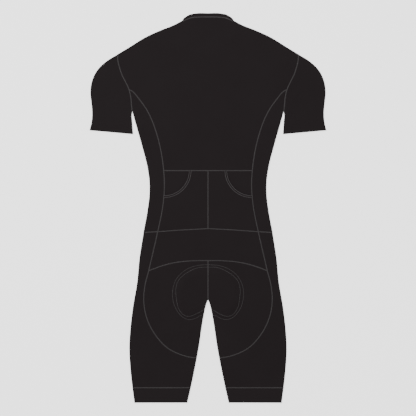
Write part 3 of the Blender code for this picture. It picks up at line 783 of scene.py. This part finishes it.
def put(name, mesh, finish, slot, *nodes):
    """Adds a mesh to the suit as one named piece that stands for its solids."""
    piece = bpy.data.objects.new(name, mesh)
    bpy.context.scene.collection.objects.link(piece)
    mesh.materials.clear()
    mesh.materials.append(finish)
    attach(piece, "root")
    if nodes:
        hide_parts(*nodes)
    return piece


def mesh_of(piece):
    """The mesh of a modelled piece, which is then removed."""
    mesh = piece.data
    bpy.data.objects.remove(piece)
    return mesh


def finish_form(piece, wall=0.0, rim=0.0, segments=2, angle=RIM_ANGLE):
    """Gives a piece its wall and round rims, and shades it smooth but for sharp edges."""
    if wall:
        shell = piece.modifiers.new("Wall", "SOLIDIFY")
        shell.thickness = wall
        shell.offset = 0.0
    if rim:
        rounding = piece.modifiers.new("Rims", "BEVEL")
        rounding.width = rim
        rounding.segments = segments
        rounding.limit_method = "ANGLE"
        rounding.angle_limit = angle
    bpy.ops.object.select_all(action="DESELECT")
    piece.select_set(True)
    bpy.context.view_layer.objects.active = piece
    for modifier in piece.modifiers[:]:
        bpy.ops.object.modifier_apply(modifier=modifier.name)
    bpy.ops.object.shade_smooth_by_angle(angle=SMOOTH_ANGLE)


def add_grid(surface, grid, side):
    """Adds a grid of points to an open surface as quads, at +X or mirrored to -X."""
    rows = []
    for line in grid:
        rows.append([surface.verts.new((side * x, y, z)) for x, y, z in line])
    for upper, lower in zip(rows, rows[1:]):
        for corner in range(len(upper) - 1):
            surface.faces.new((upper[corner], lower[corner],
                               lower[corner + 1], upper[corner + 1]))


def sewn(grids, sides):
    """One open surface of several grids, merged where they meet and facing one way."""
    surface = bmesh.new()
    for side in sides:
        for grid in grids:
            add_grid(surface, grid, side)
    bmesh.ops.remove_doubles(surface, verts=surface.verts, dist=MERGE_DISTANCE)
    bmesh.ops.recalc_face_normals(surface, faces=surface.faces)
    surface.normal_update()
    return surface


def open_seams(surface, gap):
    """Draws every free edge back by half of a seam's gap, in the surface itself."""
    moves = {}
    for edge in surface.edges:
        if not edge.is_boundary:
            continue
        face = edge.link_faces[0]
        run = (edge.verts[1].co - edge.verts[0].co).normalized()
        inward = face.normal.cross(run)
        middle = (edge.verts[0].co + edge.verts[1].co) / 2
        if inward.dot(face.calc_center_median() - middle) < 0:
            inward.negate()
        for vert in edge.verts:
            moves.setdefault(vert, []).append(inward)
    for vert, (first, second) in moves.items():
        mitre = max(1 + first.dot(second), SHARPEST_MITRE)
        vert.co += (first + second) / mitre * gap / 2


def settle(surface):
    """Moves all points of a surface with the relief of the back."""
    points = np.array([vert.co for vert in surface.verts])
    for vert, point in zip(surface.verts, settled(points)):
        vert.co = point


def flat_area(surface):
    """The area of a surface, in square metres."""
    return sum(face.calc_area() for face in surface.faces)


def as_mesh(name, surface):
    """A mesh made of a surface, which is then freed."""
    mesh = bpy.data.meshes.new(name)
    surface.to_mesh(mesh)
    surface.free()
    return mesh


def cloth(name, node, grids, finish=torso_knit, slot="body_knit",
          sides=(1, -1)):
    """One panel of knit, on the form of its solid."""
    surface = sewn(grids, sides)
    open_seams(surface, SEAM_GAP)
    area = flat_area(surface)
    settle(surface)
    piece = put(name, as_mesh(name, surface), finish, slot, node)
    finish_form(piece, WALL, CUT_ROUNDING)


def cloth_pair(name, node, grids, finishes=(torso_knit, torso_knit), slot="body_knit"):
    """The same panel on the right and on the left."""
    for (hand, side), finish in zip(SIDES, finishes):
        cloth(f"{name}_{hand}", f"{node}_{hand}", grids, finish, slot, (side,))


def single_layer(plan):
    """Plan points at the height of the back's single layer."""
    return at_level(plan, BACK_LEVEL + single_rise(plan))


def make_back_panel():
    """The upper back, from the neck and the shoulder folds down to the pocket."""
    edge = joined(shoulder_line, armhole_upper, side_back_upper)
    centre = straight(neck_top, (0.0, POCKET_TOP), len(edge) - 1)
    bottom = straight(centre[-1], edge[-1], NECK_SPANS)
    grids = (single_layer(patch(neck_seam, bottom, centre, edge)),
             fold(shoulder_line, shoulder_away, BACK_LIP))
    cloth("back_cloth", "back_panel", grids)


def pocket_layer(edge):
    """Plan points from the pocket's centre line to an edge, down to the waist."""
    centre = straight((0.0, POCKET_TOP), waist_back[0], len(edge) - 1)
    return patch(straight(centre[0], edge[0], ARCH_SPANS), waist_back, centre, edge)


def make_pocket():
    """The lower back, and the pocket that lies on it with its corners scooped out."""
    plan = pocket_layer(joined(side_back_mouth, side_back_lower))
    lower = at_level(plan, BACK_LEVEL - LOWER_DROP * pocket_hold(plan))
    cloth("lower_back_cloth", "lower_back_panel", (lower,))

    scoop = mouth_corner + TUCKED_RADIUS * mouth_rays
    side = stretch(SIDE_BACK, SIDE_BACK_LOWER_SPANS, POCKET_TOP - TUCKED_RADIUS,
                   WAIST_AT_SIDE_BACK)
    scoop[-1] = side[0]
    plan = pocket_layer(joined(scoop, side))
    pocket = at_level(plan, BACK_LEVEL + pocket_rise(plan))
    cloth("pocket_cloth", "pocket_panel", (pocket,))


def make_side_panels():
    """The narrow panels beside the back, from the armhole down to the waist."""
    first = armhole_lower[:SIDE_CORNER_SPANS + 1]
    edge = np.vstack((armhole_lower[SIDE_CORNER_SPANS:], torso_line))
    grids = (single_layer(patch(first, waist_side, side_back_torso, edge)),
             fold(*torso_fold, BACK_LIP))
    cloth_pair("side_cloth", "side_panel", grids)


def make_front_panels():
    """The two fronts, from the neck to the waist, on either side of the zip."""
    edge = np.vstack((joined(shoulder_line, armhole_line), torso_line))
    centre = straight(front_neck_seam[0], waist_front[0], len(edge) - 1)
    grids = (at_level(patch(front_neck_seam, waist_front, centre, edge), FRONT_LEVEL),
             fold(shoulder_line, shoulder_away, FRONT_LIP),
             fold(*torso_fold, FRONT_LIP))
    cloth_pair("front_cloth", "front_panel", grids)


def flat_tube(plan, folded_edge, seamed_edge):
    """The grids of a flattened tube with one folded edge and one seamed edge."""
    return (at_level(plan, BACK_LEVEL), at_level(plan, FRONT_LEVEL),
            fold(*folded_edge, ALL_ROUND),
            fold(*seamed_edge, BACK_LIP), fold(*seamed_edge, FRONT_LIP))


def make_sleeves():
    """The two sleeves: flattened tubes with the seam under the arm."""
    first = armhole_line[SLEEVE_CORNER_SPANS::-1]
    inner = np.vstack((armhole_line[SLEEVE_CORNER_SPANS:], under_line))
    last = straight(under_line[-1], sleeve_line[-1], SLEEVE_CORNER_SPANS)
    grids = flat_tube(patch(first, last, inner, sleeve_line), (sleeve_line, sleeve_away),
                      under_fold)
    cloth_pair("sleeve_cloth", "sleeve", grids, sleeve_knits)


def make_neck_band():
    """The band round the neck, turned to the front at both shoulders on a slanted end."""
    turned = fold(neck_fold_line, neck_fold_away, ALL_ROUND)
    length = run_length(neck_fold_line)
    for column, share in enumerate(np.linspace(0.0, 1.0, turned.shape[1])):
        spots = length * (1 - NECK_CUT_SLANT * share / length[-1])
        for axis in range(3):
            turned[:, column, axis] = np.interp(spots, length, turned[:, column, axis])
    front_fold = turned[:, -1, :2]
    edge = refit(stretch(NECK_EDGE, NECK_SPANS), np.array(NECK_EDGE[0]) * MM,
                 neck_fold_line[-1])
    front_edge = refit(stretch(FRONT_NECK_EDGE, FRONT_NECK_SPANS),
                       np.array(FRONT_NECK_EDGE[0]) * MM, front_fold[-1])
    back = patch(straight(neck_seam[0], edge[0], NECK_FOLD_SPANS), neck_fold_line,
                 neck_seam, edge)
    front = patch(straight(front_neck_seam[0], front_edge[0], NECK_FOLD_SPANS),
                  front_fold, front_neck_seam, front_edge)
    grids = (at_level(back, BACK_LEVEL), at_level(front, FRONT_LEVEL), turned)
    cloth("neck_band_cloth", "neck_band", grids, band_finish, "band_knit")


def make_hip_yoke():
    """The panel across the hips, from the waist to the arch of the seat."""
    centre = straight(waist_back[0], seat_arch[0], SIDE_BACK_HIP_SPANS)
    grids = (single_layer(patch(waist_back, seat_arch, centre, side_back_hip)),)
    cloth("hip_yoke_cloth", "hip_yoke", grids)


def make_seat():
    """The two seat panels, raised over the pad."""
    raised = at_level(pad_plan, BACK_LEVEL + pad_rise(pad_plan))
    first = straight(pad_outline[0], seat_arch[0], LOWER_LEG_SPANS)
    last = inner_line[PAD_LEG_SPANS - 1:shin_start + 1]
    ring = at_level(patch(first, last, pad_outline, joined(seat_arch, seat_round)), BACK_LEVEL)
    line, away = [row[:shin_start + 2] for row in inner_fold]
    # The fold is raised from the crotch as far as the pad reaches
    rise = np.zeros(len(line))
    rise[:PAD_LEG_SPANS + 1] = pad_rise(line[:PAD_LEG_SPANS + 1])
    turned = fold(line, away, BACK_LIP)
    turned[..., 2] += rise[:, None] * np.linspace(1.0, 0.0, turned.shape[1])
    cloth_pair("seat_cloth", "seat_panel", (raised, ring, turned))


def make_leg_panels():
    """The legs: from the seat seams round the outer fold to the whole front."""
    shin = slice(shin_start, band_start + 1)
    rows = slice(0, band_row + 1)
    outer = outer_line[rows]
    back = ladder(joined(side_back_hip, seat_round, inner_line[shin]), outer, LEG_SPANS)
    waist_to_crotch = straight((0.0, WAIST_AT_CENTRE), crotch_point,
                               SIDE_BACK_HIP_SPANS + seat_rows)
    front_inner = np.vstack((waist_to_crotch, inner_line[:band_start + 1]))
    front = patch(refit(waist_front, front_inner[0], outer[0]),
                  straight(front_inner[-1], outer[-1], FRONT_NECK_SPANS), front_inner, outer)
    line, away = [row[:band_start + 2] for row in inner_fold]
    grids = (single_layer(back), at_level(front, FRONT_LEVEL),
             fold(outer, outer_away[rows], ALL_ROUND),
             fold(inner_line[shin], inner_away[shin], BACK_LIP),
             fold(line, away, FRONT_LIP))
    cloth_pair("leg_cloth", "leg_panel", grids, leg_knits)


def make_leg_bands():
    """The grip bands at the hems: flattened tubes with the seam inside the leg."""
    inner = inner_line[band_start:]
    outer = outer_line[band_row:]
    grids = flat_tube(ladder(inner, outer, LEG_SPANS), (outer, outer_away[band_row:]),
                      (inner, inner_away[band_start:]))
    cloth_pair("leg_band_cloth", "leg_band", grids,
               (band_finish, band_finish), "band_knit")


def make_pad():
    """The pad: its top follows the raised seat, and shallow channels cross its foot."""
    surface = sewn((at_level(pad_plan, PAD_FOOT),), (1, -1))
    open_seams(surface, 2 * PAD_INSET)
    swept = bmesh.ops.extrude_face_region(surface, geom=surface.faces[:])
    top = {vert for vert in swept["geom"] if isinstance(vert, bmesh.types.BMVert)}
    for vert in surface.verts:
        spot = np.array((abs(vert.co.x), vert.co.y))
        swell = pad_rise(spot)
        if vert in top:
            vert.co.z = BACK_LEVEL - WALL / 2 - SEAM_GAP + swell
        else:
            ridge = math.cos(2 * math.pi * spot[0] / CHANNEL_PITCH) * swell / PAD_RISE
            vert.co.z += CHANNEL_DEPTH * (1 - ridge) / 2
    settle(surface)
    bmesh.ops.recalc_face_normals(surface, faces=surface.faces)
    piece = put("seat_pad_foam", as_mesh("seat_pad_foam", surface), fleece_finish, "pad_foam",
                "seat_pad")
    finish_form(piece, rim=PAD_RIM, segments=3)


# ---- Folded tape

def folded_tape(name, node, surface, wall, place):
    """A piece of tape, folded, with its UV places worked out from its points."""
    area = flat_area(surface)
    settle(surface)
    spots = surface.loops.layers.uv.new("Tape")
    for face in surface.faces:
        for loop in face.loops:
            loop[spots].uv = place(loop.vert.co)
    piece = put(name, as_mesh(name, surface), binding_finish, "binding_tape", node)
    finish_form(piece, wall)


def mouth_place(spot):
    """Where a point lies on a mouth's tape: along the mouth, and out from its centre."""
    offset = np.array((abs(spot.x), spot.y)) - mouth_corner
    return math.atan2(-offset[1], -offset[0]) * MOUTH_RADIUS, np.linalg.norm(offset)


def pull_place(spot):
    """Where a point lies on the pull's tape: along it and across it."""
    return spot.y, spot.x


def binding_levels():
    """Height of the binding's middle, in each direction from the mouth's centre."""
    return BACK_LEVEL + pocket_rise(mouth_corner + PANEL_RADIUS * mouth_rays)


def make_bindings():
    """The tape folded over each scooped edge of the pocket."""
    bend = MOUTH_RADIUS + LEAF_LEVEL + TAPE_WALL / 2
    turns = np.linspace(math.pi / 2, 3 * math.pi / 2, LEAF_BEND_SPANS + 1)
    leaf = np.linspace(TAPE_EDGE_RADIUS, bend, LEAF_SPANS, endpoint=False)
    radii = np.concatenate((leaf, bend + LEAF_LEVEL * np.cos(turns), leaf[::-1]))
    sides = np.concatenate((np.ones(LEAF_SPANS), np.sin(turns), -np.ones(LEAF_SPANS)))
    plan = mouth_corner + radii[None, :, None] * mouth_rays[:, None]
    strip = at_level(plan, binding_levels()[:, None] + LEAF_LEVEL * sides)
    for hand, side in SIDES:
        folded_tape(f"binding_tape_{hand}", f"pocket_binding_{hand}", sewn((strip,), (side,)),
                    TAPE_WALL, mouth_place)


def make_pull():
    """The short pull: a tape folded lengthwise, round at its end and stitched at its ring."""
    low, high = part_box("zip_pull")
    half_width = (high[0] - low[0]) / 2
    turns = np.linspace(0.0, math.pi / 2, PULL_CORNER_SPANS + 1)
    length = np.linspace(high[1], low[1] + PULL_CORNER, PULL_SPANS, endpoint=False)
    along = np.concatenate((length, low[1] + PULL_CORNER * (1 - np.sin(turns))))
    inset = np.concatenate((np.zeros(PULL_SPANS), PULL_CORNER * (1 - np.cos(turns))))
    crease = half_width - PULL_LEAF_LEVEL
    bend = np.linspace(math.pi / 2, -math.pi / 2, PULL_BEND_SPANS + 1)
    leaf = np.linspace(-half_width, crease, PULL_LEAF_SPANS, endpoint=False)
    across = np.concatenate((leaf, crease + PULL_LEAF_LEVEL * np.cos(bend), leaf[::-1]))
    sides = np.concatenate((np.ones(len(leaf)), np.sin(bend), -np.ones(len(leaf))))
    share = 1 - inset / half_width
    plan = np.stack((share[:, None] * across, np.tile(along[:, None], len(across))), axis=-1)
    surface = sewn((at_level(plan, PULL_LEVEL + PULL_LEAF_LEVEL * sides),), (1,))
    folded_tape("pull_tape", "zip_pull", surface, PULL_WALL,
                pull_place)

    reach = half_width - PULL_ROW_MARGIN
    rows = []
    for inset in PULL_ROW_INSETS:
        row = high[1] - inset
        path = on_front(straight((-reach, row), (reach, row), PULL_ROW_SPANS))
        path[:, 2] = PULL_LEVEL - PULL_LEAF_LEVEL
        rows.append(repeated(path, lock_stitch(margin=0.08), LOCK_PITCH))
    sew("pull_stitch", thread_finish, *rows)


# ---- Paths of the seams

def mirrored(path):
    """A path of the right half, on the left half."""
    return path * np.array((-1, 1, 1, -1, 1, 1))


def across_middle(path):
    """A path that starts on the centre line, run on over the other side as well."""
    return joined(mirrored(path)[::-1], path)


def on_back(line, rise=plain_rise):
    """A plan line laid on the outer face of the back."""
    across = np.array((SLOPE_STEP, 0.0))
    slopes = [(rise(line + step) - rise(line - step)) / (2 * SLOPE_STEP)
              for step in (across, across[::-1])]
    off = unit(np.column_stack((-slopes[0], -slopes[1], np.ones(len(line)))))
    return np.hstack((at_level(line, BACK_TOP + rise(line)), off))


def on_middle(line, rise):
    """A line down the centre of the back, where the cloth leans to neither side."""
    path = on_back(line, rise)
    path[:, 3] = 0.0
    path[:, 3:] = unit(path[:, 3:])
    return path


def on_front(line):
    """A plan line laid on the outer face of the front, which is the underside."""
    off = np.tile((0.0, 0.0, -1.0), (len(line), 1))
    return np.hstack((at_level(line, THREAD_ROOM), off))


def on_edge(line, away):
    """A seam along a fold, half way between the back and the front."""
    plan = line + OUTER_RADIUS * away
    return np.hstack((at_level(plan, FOLD_LEVEL), at_level(away, 0.0)))


def over_edge(spot, away, turn=ALL_ROUND, rise=0.0):
    """A seam that turns over a fold, from the back towards the front."""
    turns = np.linspace(*turn, 2 * round(turn[1] / TURN_STEP) + 1)
    angles = np.radians(turns)
    off = np.column_stack((np.sin(angles)[:, None] * away, np.cos(angles)))
    points = np.append(spot, FOLD_LEVEL) + OUTER_RADIUS * off
    points[:, 2] += rise * np.clip(1 - turns / BACK_LIP[1], 0.0, 1.0)
    return np.hstack((points, off))


# ---- Thread

def model_thread():
    """One short float of thread along X that rises out of the cloth and dips back in."""
    bpy.ops.object.select_all(action="DESELECT")
    bpy.ops.mesh.primitive_cylinder_add(vertices=THREAD_SIDES, radius=THREAD_RADIUS,
                                        depth=FLATLOCK_PITCH, end_fill_type="NGON",
                                        rotation=(0.0, math.pi / 2, 0.0))
    float_of_thread = bpy.context.object
    bpy.ops.object.transform_apply(location=False, rotation=True, scale=False)
    bpy.ops.object.mode_set(mode="EDIT")
    bpy.ops.mesh.select_all(action="SELECT")
    bpy.ops.mesh.bisect(plane_co=(0.0, 0.0, 0.0), plane_no=(1.0, 0.0, 0.0))
    bpy.ops.transform.translate(value=(0.0, 0.0, THREAD_ARCH + THREAD_DIP))
    bpy.ops.mesh.select_all(action="SELECT")
    bpy.ops.transform.translate(value=(0.0, 0.0, THREAD_LEVEL - THREAD_DIP))
    bpy.ops.object.mode_set(mode="OBJECT")
    return mesh_of(float_of_thread)


def read_shape(mesh):
    """The shape that a modelled mesh has."""
    points = np.array([vert.co for vert in mesh.vertices])
    faces = [tuple(face.vertices) for face in mesh.polygons]
    places = np.array([spot.uv for spot in mesh.uv_layers.active.data])
    return points, faces, places


def placed(shape, start, end, thickness):
    """A modelled float of thread laid from one place of a stitch to another."""
    points, faces, places = shape
    start = np.array(start)
    run = np.array(end) - start
    share = points[:, 0] / FLATLOCK_PITCH + 0.5
    side = np.array((-run[1], run[0])) / np.linalg.norm(run)
    plan = start + share[:, None] * run + thickness * points[:, 1:2] * side
    return np.column_stack((plan, thickness * points[:, 2])), faces, places


def together(*shapes):
    """Several shapes as one."""
    points = np.vstack([shape[0] for shape in shapes])
    faces = []
    start = 0
    for shape in shapes:
        faces += [tuple(corner + start for corner in face) for face in shape[1]]
        start += len(shape[0])
    return points, faces, np.vstack([shape[2] for shape in shapes])


def along_path(path, points, spots):
    """Points given as (along, across, off the cloth), bent onto a path."""
    length = run_length(path[:, :3])
    run = unit(np.gradient(path[:, :3], axis=0))
    rows = np.hstack((path, unit(np.cross(path[:, 3:], run))))
    spots = np.clip(spots, 0.0, length[-1])
    at = np.column_stack([np.interp(spots, length, rows[:, axis]) for axis in range(9)])
    pressed = (1 + PRESSED) / 2 + (1 - PRESSED) / 2 * at[:, 5]
    height = points[:, 2] * pressed
    return at[:, :3] + points[:, 1:2] * at[:, 6:] + height[:, None] * at[:, 3:6]


def repeated(path, shape, pitch):
    """A stitch repeated along a whole path, its pitch eased to end on a whole stitch."""
    points, faces, places = shape
    total = run_length(path[:, :3])[-1]
    count = max(1, round(total / pitch))
    ease = total / count / pitch
    spots = (np.arange(count)[:, None] * pitch + points[None, :, 0]) * ease
    bent = along_path(path, np.tile(points, (count, 1)), spots.ravel())
    every = [tuple(corner + copy * len(points) for corner in face)
             for copy in range(count) for face in faces]
    return bent, every, np.tile(places, (count, 1))


def bed(path, half_width, closed):
    """The flat bed of looped thread under a seam's stitches, thickest in its middle."""
    length = run_length(path[:, :3])[-1]
    count = max(2, round(length / FLATLOCK_PITCH))
    spots = np.linspace(0.0, length, count + 1)
    ring = np.array([(0.0, half_width * across, height * MM) for across, height in BED])
    corners = len(ring)
    rows = count if closed else count + 1
    points = along_path(path, np.tile(ring, (rows, 1)), np.repeat(spots[:rows], corners))
    faces = []
    places = []
    for row in range(count):
        following = (row + 1) % rows
        for corner in range(corners):
            beside = (corner + 1) % corners
            faces.append((row * corners + corner, row * corners + beside,
                          following * corners + beside, following * corners + corner))
            places += [(corner, row), (beside, row), (beside, row + 1), (corner, row + 1)]
    if not closed:
        last = (rows - 1) * corners
        faces.append(tuple(range(corners))[::-1])
        faces.append(tuple(last + corner for corner in range(corners)))
        places += [(0.0, 0.0)] * (2 * corners)
    return points, faces, np.array(places, dtype=float)


def smooth_mesh(name, points, faces):
    """A mesh of points and faces, shaded smooth."""
    mesh = bpy.data.meshes.new(name)
    mesh.from_pydata(points.tolist(), [], faces)
    mesh.polygons.foreach_set("use_smooth", [True] * len(faces))
    return mesh


def sew(name, finish, *shapes):
    """Adds the thread of one seam to the suit, moved with the relief of the back."""
    points, faces, places = together(*shapes)
    mesh = smooth_mesh(name, settled(points), faces)
    layer = mesh.uv_layers.new(name="Thread")
    layer.data.foreach_set("uv", places.astype(np.float32).ravel())
    surface = bmesh.new()
    surface.from_mesh(mesh)
    bmesh.ops.recalc_face_normals(surface, faces=surface.faces)
    surface.to_mesh(mesh)
    surface.free()
    put(name, mesh, finish, "seam_thread")


def flatlock(name, path, closed=False, share=1.0, finish=thread_finish):
    """A flat seam: bars of looper thread between two rows of needle thread."""
    half = FLATLOCK_HALF_WIDTH * share
    pitch = FLATLOCK_PITCH
    stitch = together(*[placed(thread, (x0 * pitch, y0 * half), (x1 * pitch, y1 * half), thickness)
                        for x0, y0, x1, y1, thickness in FLATLOCK_STITCH])
    sew(name, finish, bed(path, half * BED_SHARE, closed), repeated(path, stitch, pitch))


def flatlock_pair(name, path, closed=False, **looks):
    """The same seam on the right and on the left."""
    flatlock(f"{name}_right", path, closed, **looks)
    flatlock(f"{name}_left", mirrored(path), closed, **looks)


def lock_stitch(margin, thickness=1.0):
    """One straight stitch, with a share of its pitch left free at each end."""
    return placed(thread, (margin * LOCK_PITCH, 0.0), ((1 - margin) * LOCK_PITCH, 0.0), thickness)


thread = read_shape(model_thread())


def make_upper_seams():
    """Round the neck, from the zip over both shoulders, and round the armholes."""
    neck = joined(on_back(neck_seam), over_edge(shoulder_line[0], shoulder_away[0]),
                  on_front(front_neck_seam[::-1]))
    flatlock("neck_seam", across_middle(neck))
    top = over_edge(shoulder_line[-1], shoulder_away[-1])[::-1]
    armhole = joined(on_back(armhole_line), over_edge(underarm, straight_down),
                     on_front(armhole_line[::-1]), top)
    flatlock_pair("armhole_seam", armhole, True)


def make_long_seams():
    """On the folds, and from the armholes down the back and round the seat."""
    for name, line, away in (("shoulder_seam", shoulder_line, shoulder_away),
                             ("underarm_seam", under_line, under_away),
                             ("side_seam", torso_line, torso_away),
                             ("inside_leg_seam", inner_line, inner_away)):
        flatlock_pair(name, on_edge(line, away))
    line = joined(side_back_torso, side_back_hip, seat_round)
    end = over_edge(inner_line[shin_start], inner_away[shin_start], BACK_LIP)
    flatlock_pair("side_back_seam", joined(on_back(line, single_rise), end))


def make_waist_seam():
    """Round the waist, over both sides."""
    front = on_front(np.vstack((waist_front[::-1], ((0.0, WAIST_AT_CENTRE),))))
    waist = joined(on_back(joined(waist_back, waist_side), single_rise),
                   over_edge(torso_line[-1], torso_away[-1]), front)
    flatlock("waist_seam", joined(waist, mirrored(waist)[::-1]), True)


def make_seat_seams():
    """The arch above the seat, and the seam down its middle that runs up the front."""
    flatlock("seat_arch_seam", across_middle(on_back(seat_arch)))
    above = on_back(straight(seat_arch[0], pad_outline[0], ABOVE_PAD_SPANS))
    crotch = over_edge(crotch_point, straight_down, rise=pad_rise(crotch_point))
    front = on_front(straight(crotch_point, (0.0, WAIST_AT_CENTRE), CENTRE_BACK_SPANS))
    flatlock("centre_seam", joined(above, on_middle(centre_back, pad_rise), crotch, front))


def make_band_seams():
    """Round each leg above its band."""
    line = straight(inner_line[band_start], outer_line[band_row], LEG_SPANS)
    inner = over_edge(line[0], inner_away[band_start])[::-1]
    band = joined(on_back(line), over_edge(line[-1], outer_away[band_row]),
                  on_front(line[::-1]), inner)
    flatlock_pair("band_seam", band, True)


def make_pocket_seams():
    """Across the pocket's top, down its middle, and round its two bound mouths."""
    top = straight((0.0, POCKET_TOP), side_back_mouth[0], ARCH_SPANS)
    flatlock("pocket_top_seam", across_middle(on_back(top, single_rise)))
    middle = straight((0.0, POCKET_TOP), (0.0, WAIST_AT_CENTRE), ARCH_SPANS)
    flatlock("pocket_divider_seam", on_middle(middle, pocket_rise))
    for row, radius in BINDING_ROWS:
        path = on_back(mouth_corner + radius * mouth_rays)
        path[:, 2] = binding_levels() + LEAF_LEVEL + TAPE_WALL / 2
        flatlock_pair(f"binding_{row}_stitch", path, share=BINDING_SHARE,
                      finish=pale_thread_finish)


def make_pad_stitching():
    """The two rows that hold the pad, at its outline and just inside it."""
    flatlock("pad_outer_stitch", across_middle(on_back(pad_outline)), share=PAD_SHARE)
    inner = on_back(stretch(PAD_INNER_ROW, pad_spans), pad_rise)
    inner[0, 3] = 0.0
    flatlock("pad_inner_stitch", across_middle(inner), share=PAD_SHARE)


# ---- Zip

def make_zip():
    """The closed front zip: two tapes, two rows of teeth and a row of stitches beside."""
    bottom = WAIST_AT_CENTRE
    inner, outer = [straight((across, ZIP_TOP), (across, bottom), ZIP_SPANS)
                    for across in (TAPE_SPLIT / 2, TAPE_HALF_WIDTH)]
    surface = sewn((at_level(ladder(inner, outer, ZIP_TAPE_SPANS), TAPE_LEVEL),), (1, -1))
    tapes = put("zip_tapes", as_mesh("zip_tapes", surface), zip_tape_finish, "zip_plastic",
                "zip_coil")
    finish_form(tapes, TAPE_WALL)

    fat = TOOTH_RADIUS / THREAD_RADIUS
    teeth = [placed(thread, (start * TOOTH_PITCH, -TOOTH_HEEL * side),
                    (start * TOOTH_PITCH, TOOTH_REACH * side), fat)
             for side, start in ((1, 0.25), (-1, 0.75))]
    points, faces, places = together(*teeth)
    points[:, 2] -= fat * THREAD_LEVEL
    path = on_front(straight((0.0, bottom + TOOTH_PITCH), (0.0, TEETH_TOP), ZIP_SPANS))
    path[:, 2] = TOOTH_LEVEL
    points, faces, places = repeated(path, (points, faces, places), TOOTH_PITCH)
    put("zip_teeth", smooth_mesh("zip_teeth", points, faces), nylon_finish, "zip_plastic")

    row = on_front(straight((ZIP_ROW_ACROSS, ZIP_TOP - ZIP_ROW_INSET),
                            (ZIP_ROW_ACROSS, bottom + ZIP_ROW_INSET), ZIP_SPANS))
    stitch = lock_stitch(margin=0.1, thickness=1.2)
    for hand, path in (("right", row), ("left", mirrored(row))):
        sew(f"zip_stitch_{hand}", thread_finish, repeated(path, stitch, LOCK_PITCH))


def make_slider():
    """The slider: a body that narrows towards its tail, with a channel in each side."""
    low, high = np.array(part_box("zip_slider"))
    size = high - low
    centre = (high + low) / 2
    bpy.ops.object.select_all(action="DESELECT")
    bpy.ops.mesh.primitive_cube_add(size=1.0, location=centre, scale=size)
    slider = bpy.context.object
    bpy.ops.object.transform_apply(location=True, rotation=False, scale=True)
    bpy.ops.object.mode_set(mode="EDIT")
    bpy.ops.mesh.select_all(action="SELECT")
    bpy.ops.mesh.subdivide(number_cuts=3)
    bpy.ops.object.mode_set(mode="OBJECT")
    for vert in slider.data.vertices:
        share = (vert.co.y - low[1]) / size[1]
        vert.co.x *= SLIDER_TAIL + (1 - SLIDER_TAIL) * math.sin(share * math.pi / 2) ** 2
        middle = abs(vert.co.z - centre[2]) < size[2] * SLIDER_CHANNEL_HEIGHT
        if middle and abs(vert.co.x) > size[0] * SLIDER_CHANNEL_START:
            vert.co.x *= SLIDER_CHANNEL_WIDTH
    finish_form(slider, rim=SLIDER_ROUNDING, segments=3, angle=math.radians(30))
    put("slider_body", mesh_of(slider), lacquer_finish, "slider_metal", "zip_slider")


def make_ring():
    """The wire ring that joins the pull to the slider."""
    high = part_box("zip_pull")[1]
    bpy.ops.object.select_all(action="DESELECT")
    bpy.ops.mesh.primitive_torus_add(
        major_radius=RING_RADIUS, minor_radius=WIRE_RADIUS, major_segments=32,
        minor_segments=10, location=(0.0, high[1], PULL_LEVEL))
    ring = bpy.context.object
    bpy.ops.object.transform_apply(location=True, rotation=False, scale=False)
    bpy.ops.object.shade_smooth()
    put("pull_ring", mesh_of(ring), lacquer_finish, "slider_metal")


# ---- The whole scene

def make_studio():
    """A pale floor, soft light from above, and a camera that looks straight down."""
    bpy.ops.object.select_all(action="DESELECT")
    bpy.ops.mesh.primitive_plane_add(size=FLOOR_SIZE, location=(0.0, 0.0, FLOOR_LEVEL))
    floor = bpy.context.object
    floor.name = "floor"
    floor.data.materials.append(pale_floor())

    world = bpy.data.worlds.new("studio")
    bpy.context.scene.world = world
    world.use_nodes = True
    sky = world.node_tree.nodes["Background"]
    sky.inputs["Color"].default_value = (1.0, 1.0, 1.0, 1.0)
    sky.inputs["Strength"].default_value = SKY_STRENGTH

    bpy.ops.object.light_add(type="AREA", location=LAMP_PLACE, rotation=LAMP_TURN)
    lamp = bpy.context.object
    lamp.data.shape = "SQUARE"
    lamp.data.size = LAMP_SIZE
    lamp.data.energy = LAMP_POWER

    height = VIEW_WIDTH * VIEW_LENS / VIEW_SENSOR + FOLD_LEVEL
    bpy.ops.object.camera_add(location=(0.0, 0.0, height), rotation=(0.0, 0.0, 0.0))
    camera = bpy.context.object
    camera.data.lens = VIEW_LENS
    camera.data.sensor_width = VIEW_SENSOR
    bpy.context.scene.camera = camera


make_back_panel()
make_pocket()
make_side_panels()
make_front_panels()
make_sleeves()
make_neck_band()
make_hip_yoke()
make_seat()
make_leg_panels()
make_leg_bands()
make_pad()
make_bindings()
make_upper_seams()
make_long_seams()
make_waist_seam()
make_seat_seams()
make_band_seams()
make_pocket_seams()
make_pad_stitching()
make_zip()
make_slider()
make_pull()
make_ring()
make_studio()
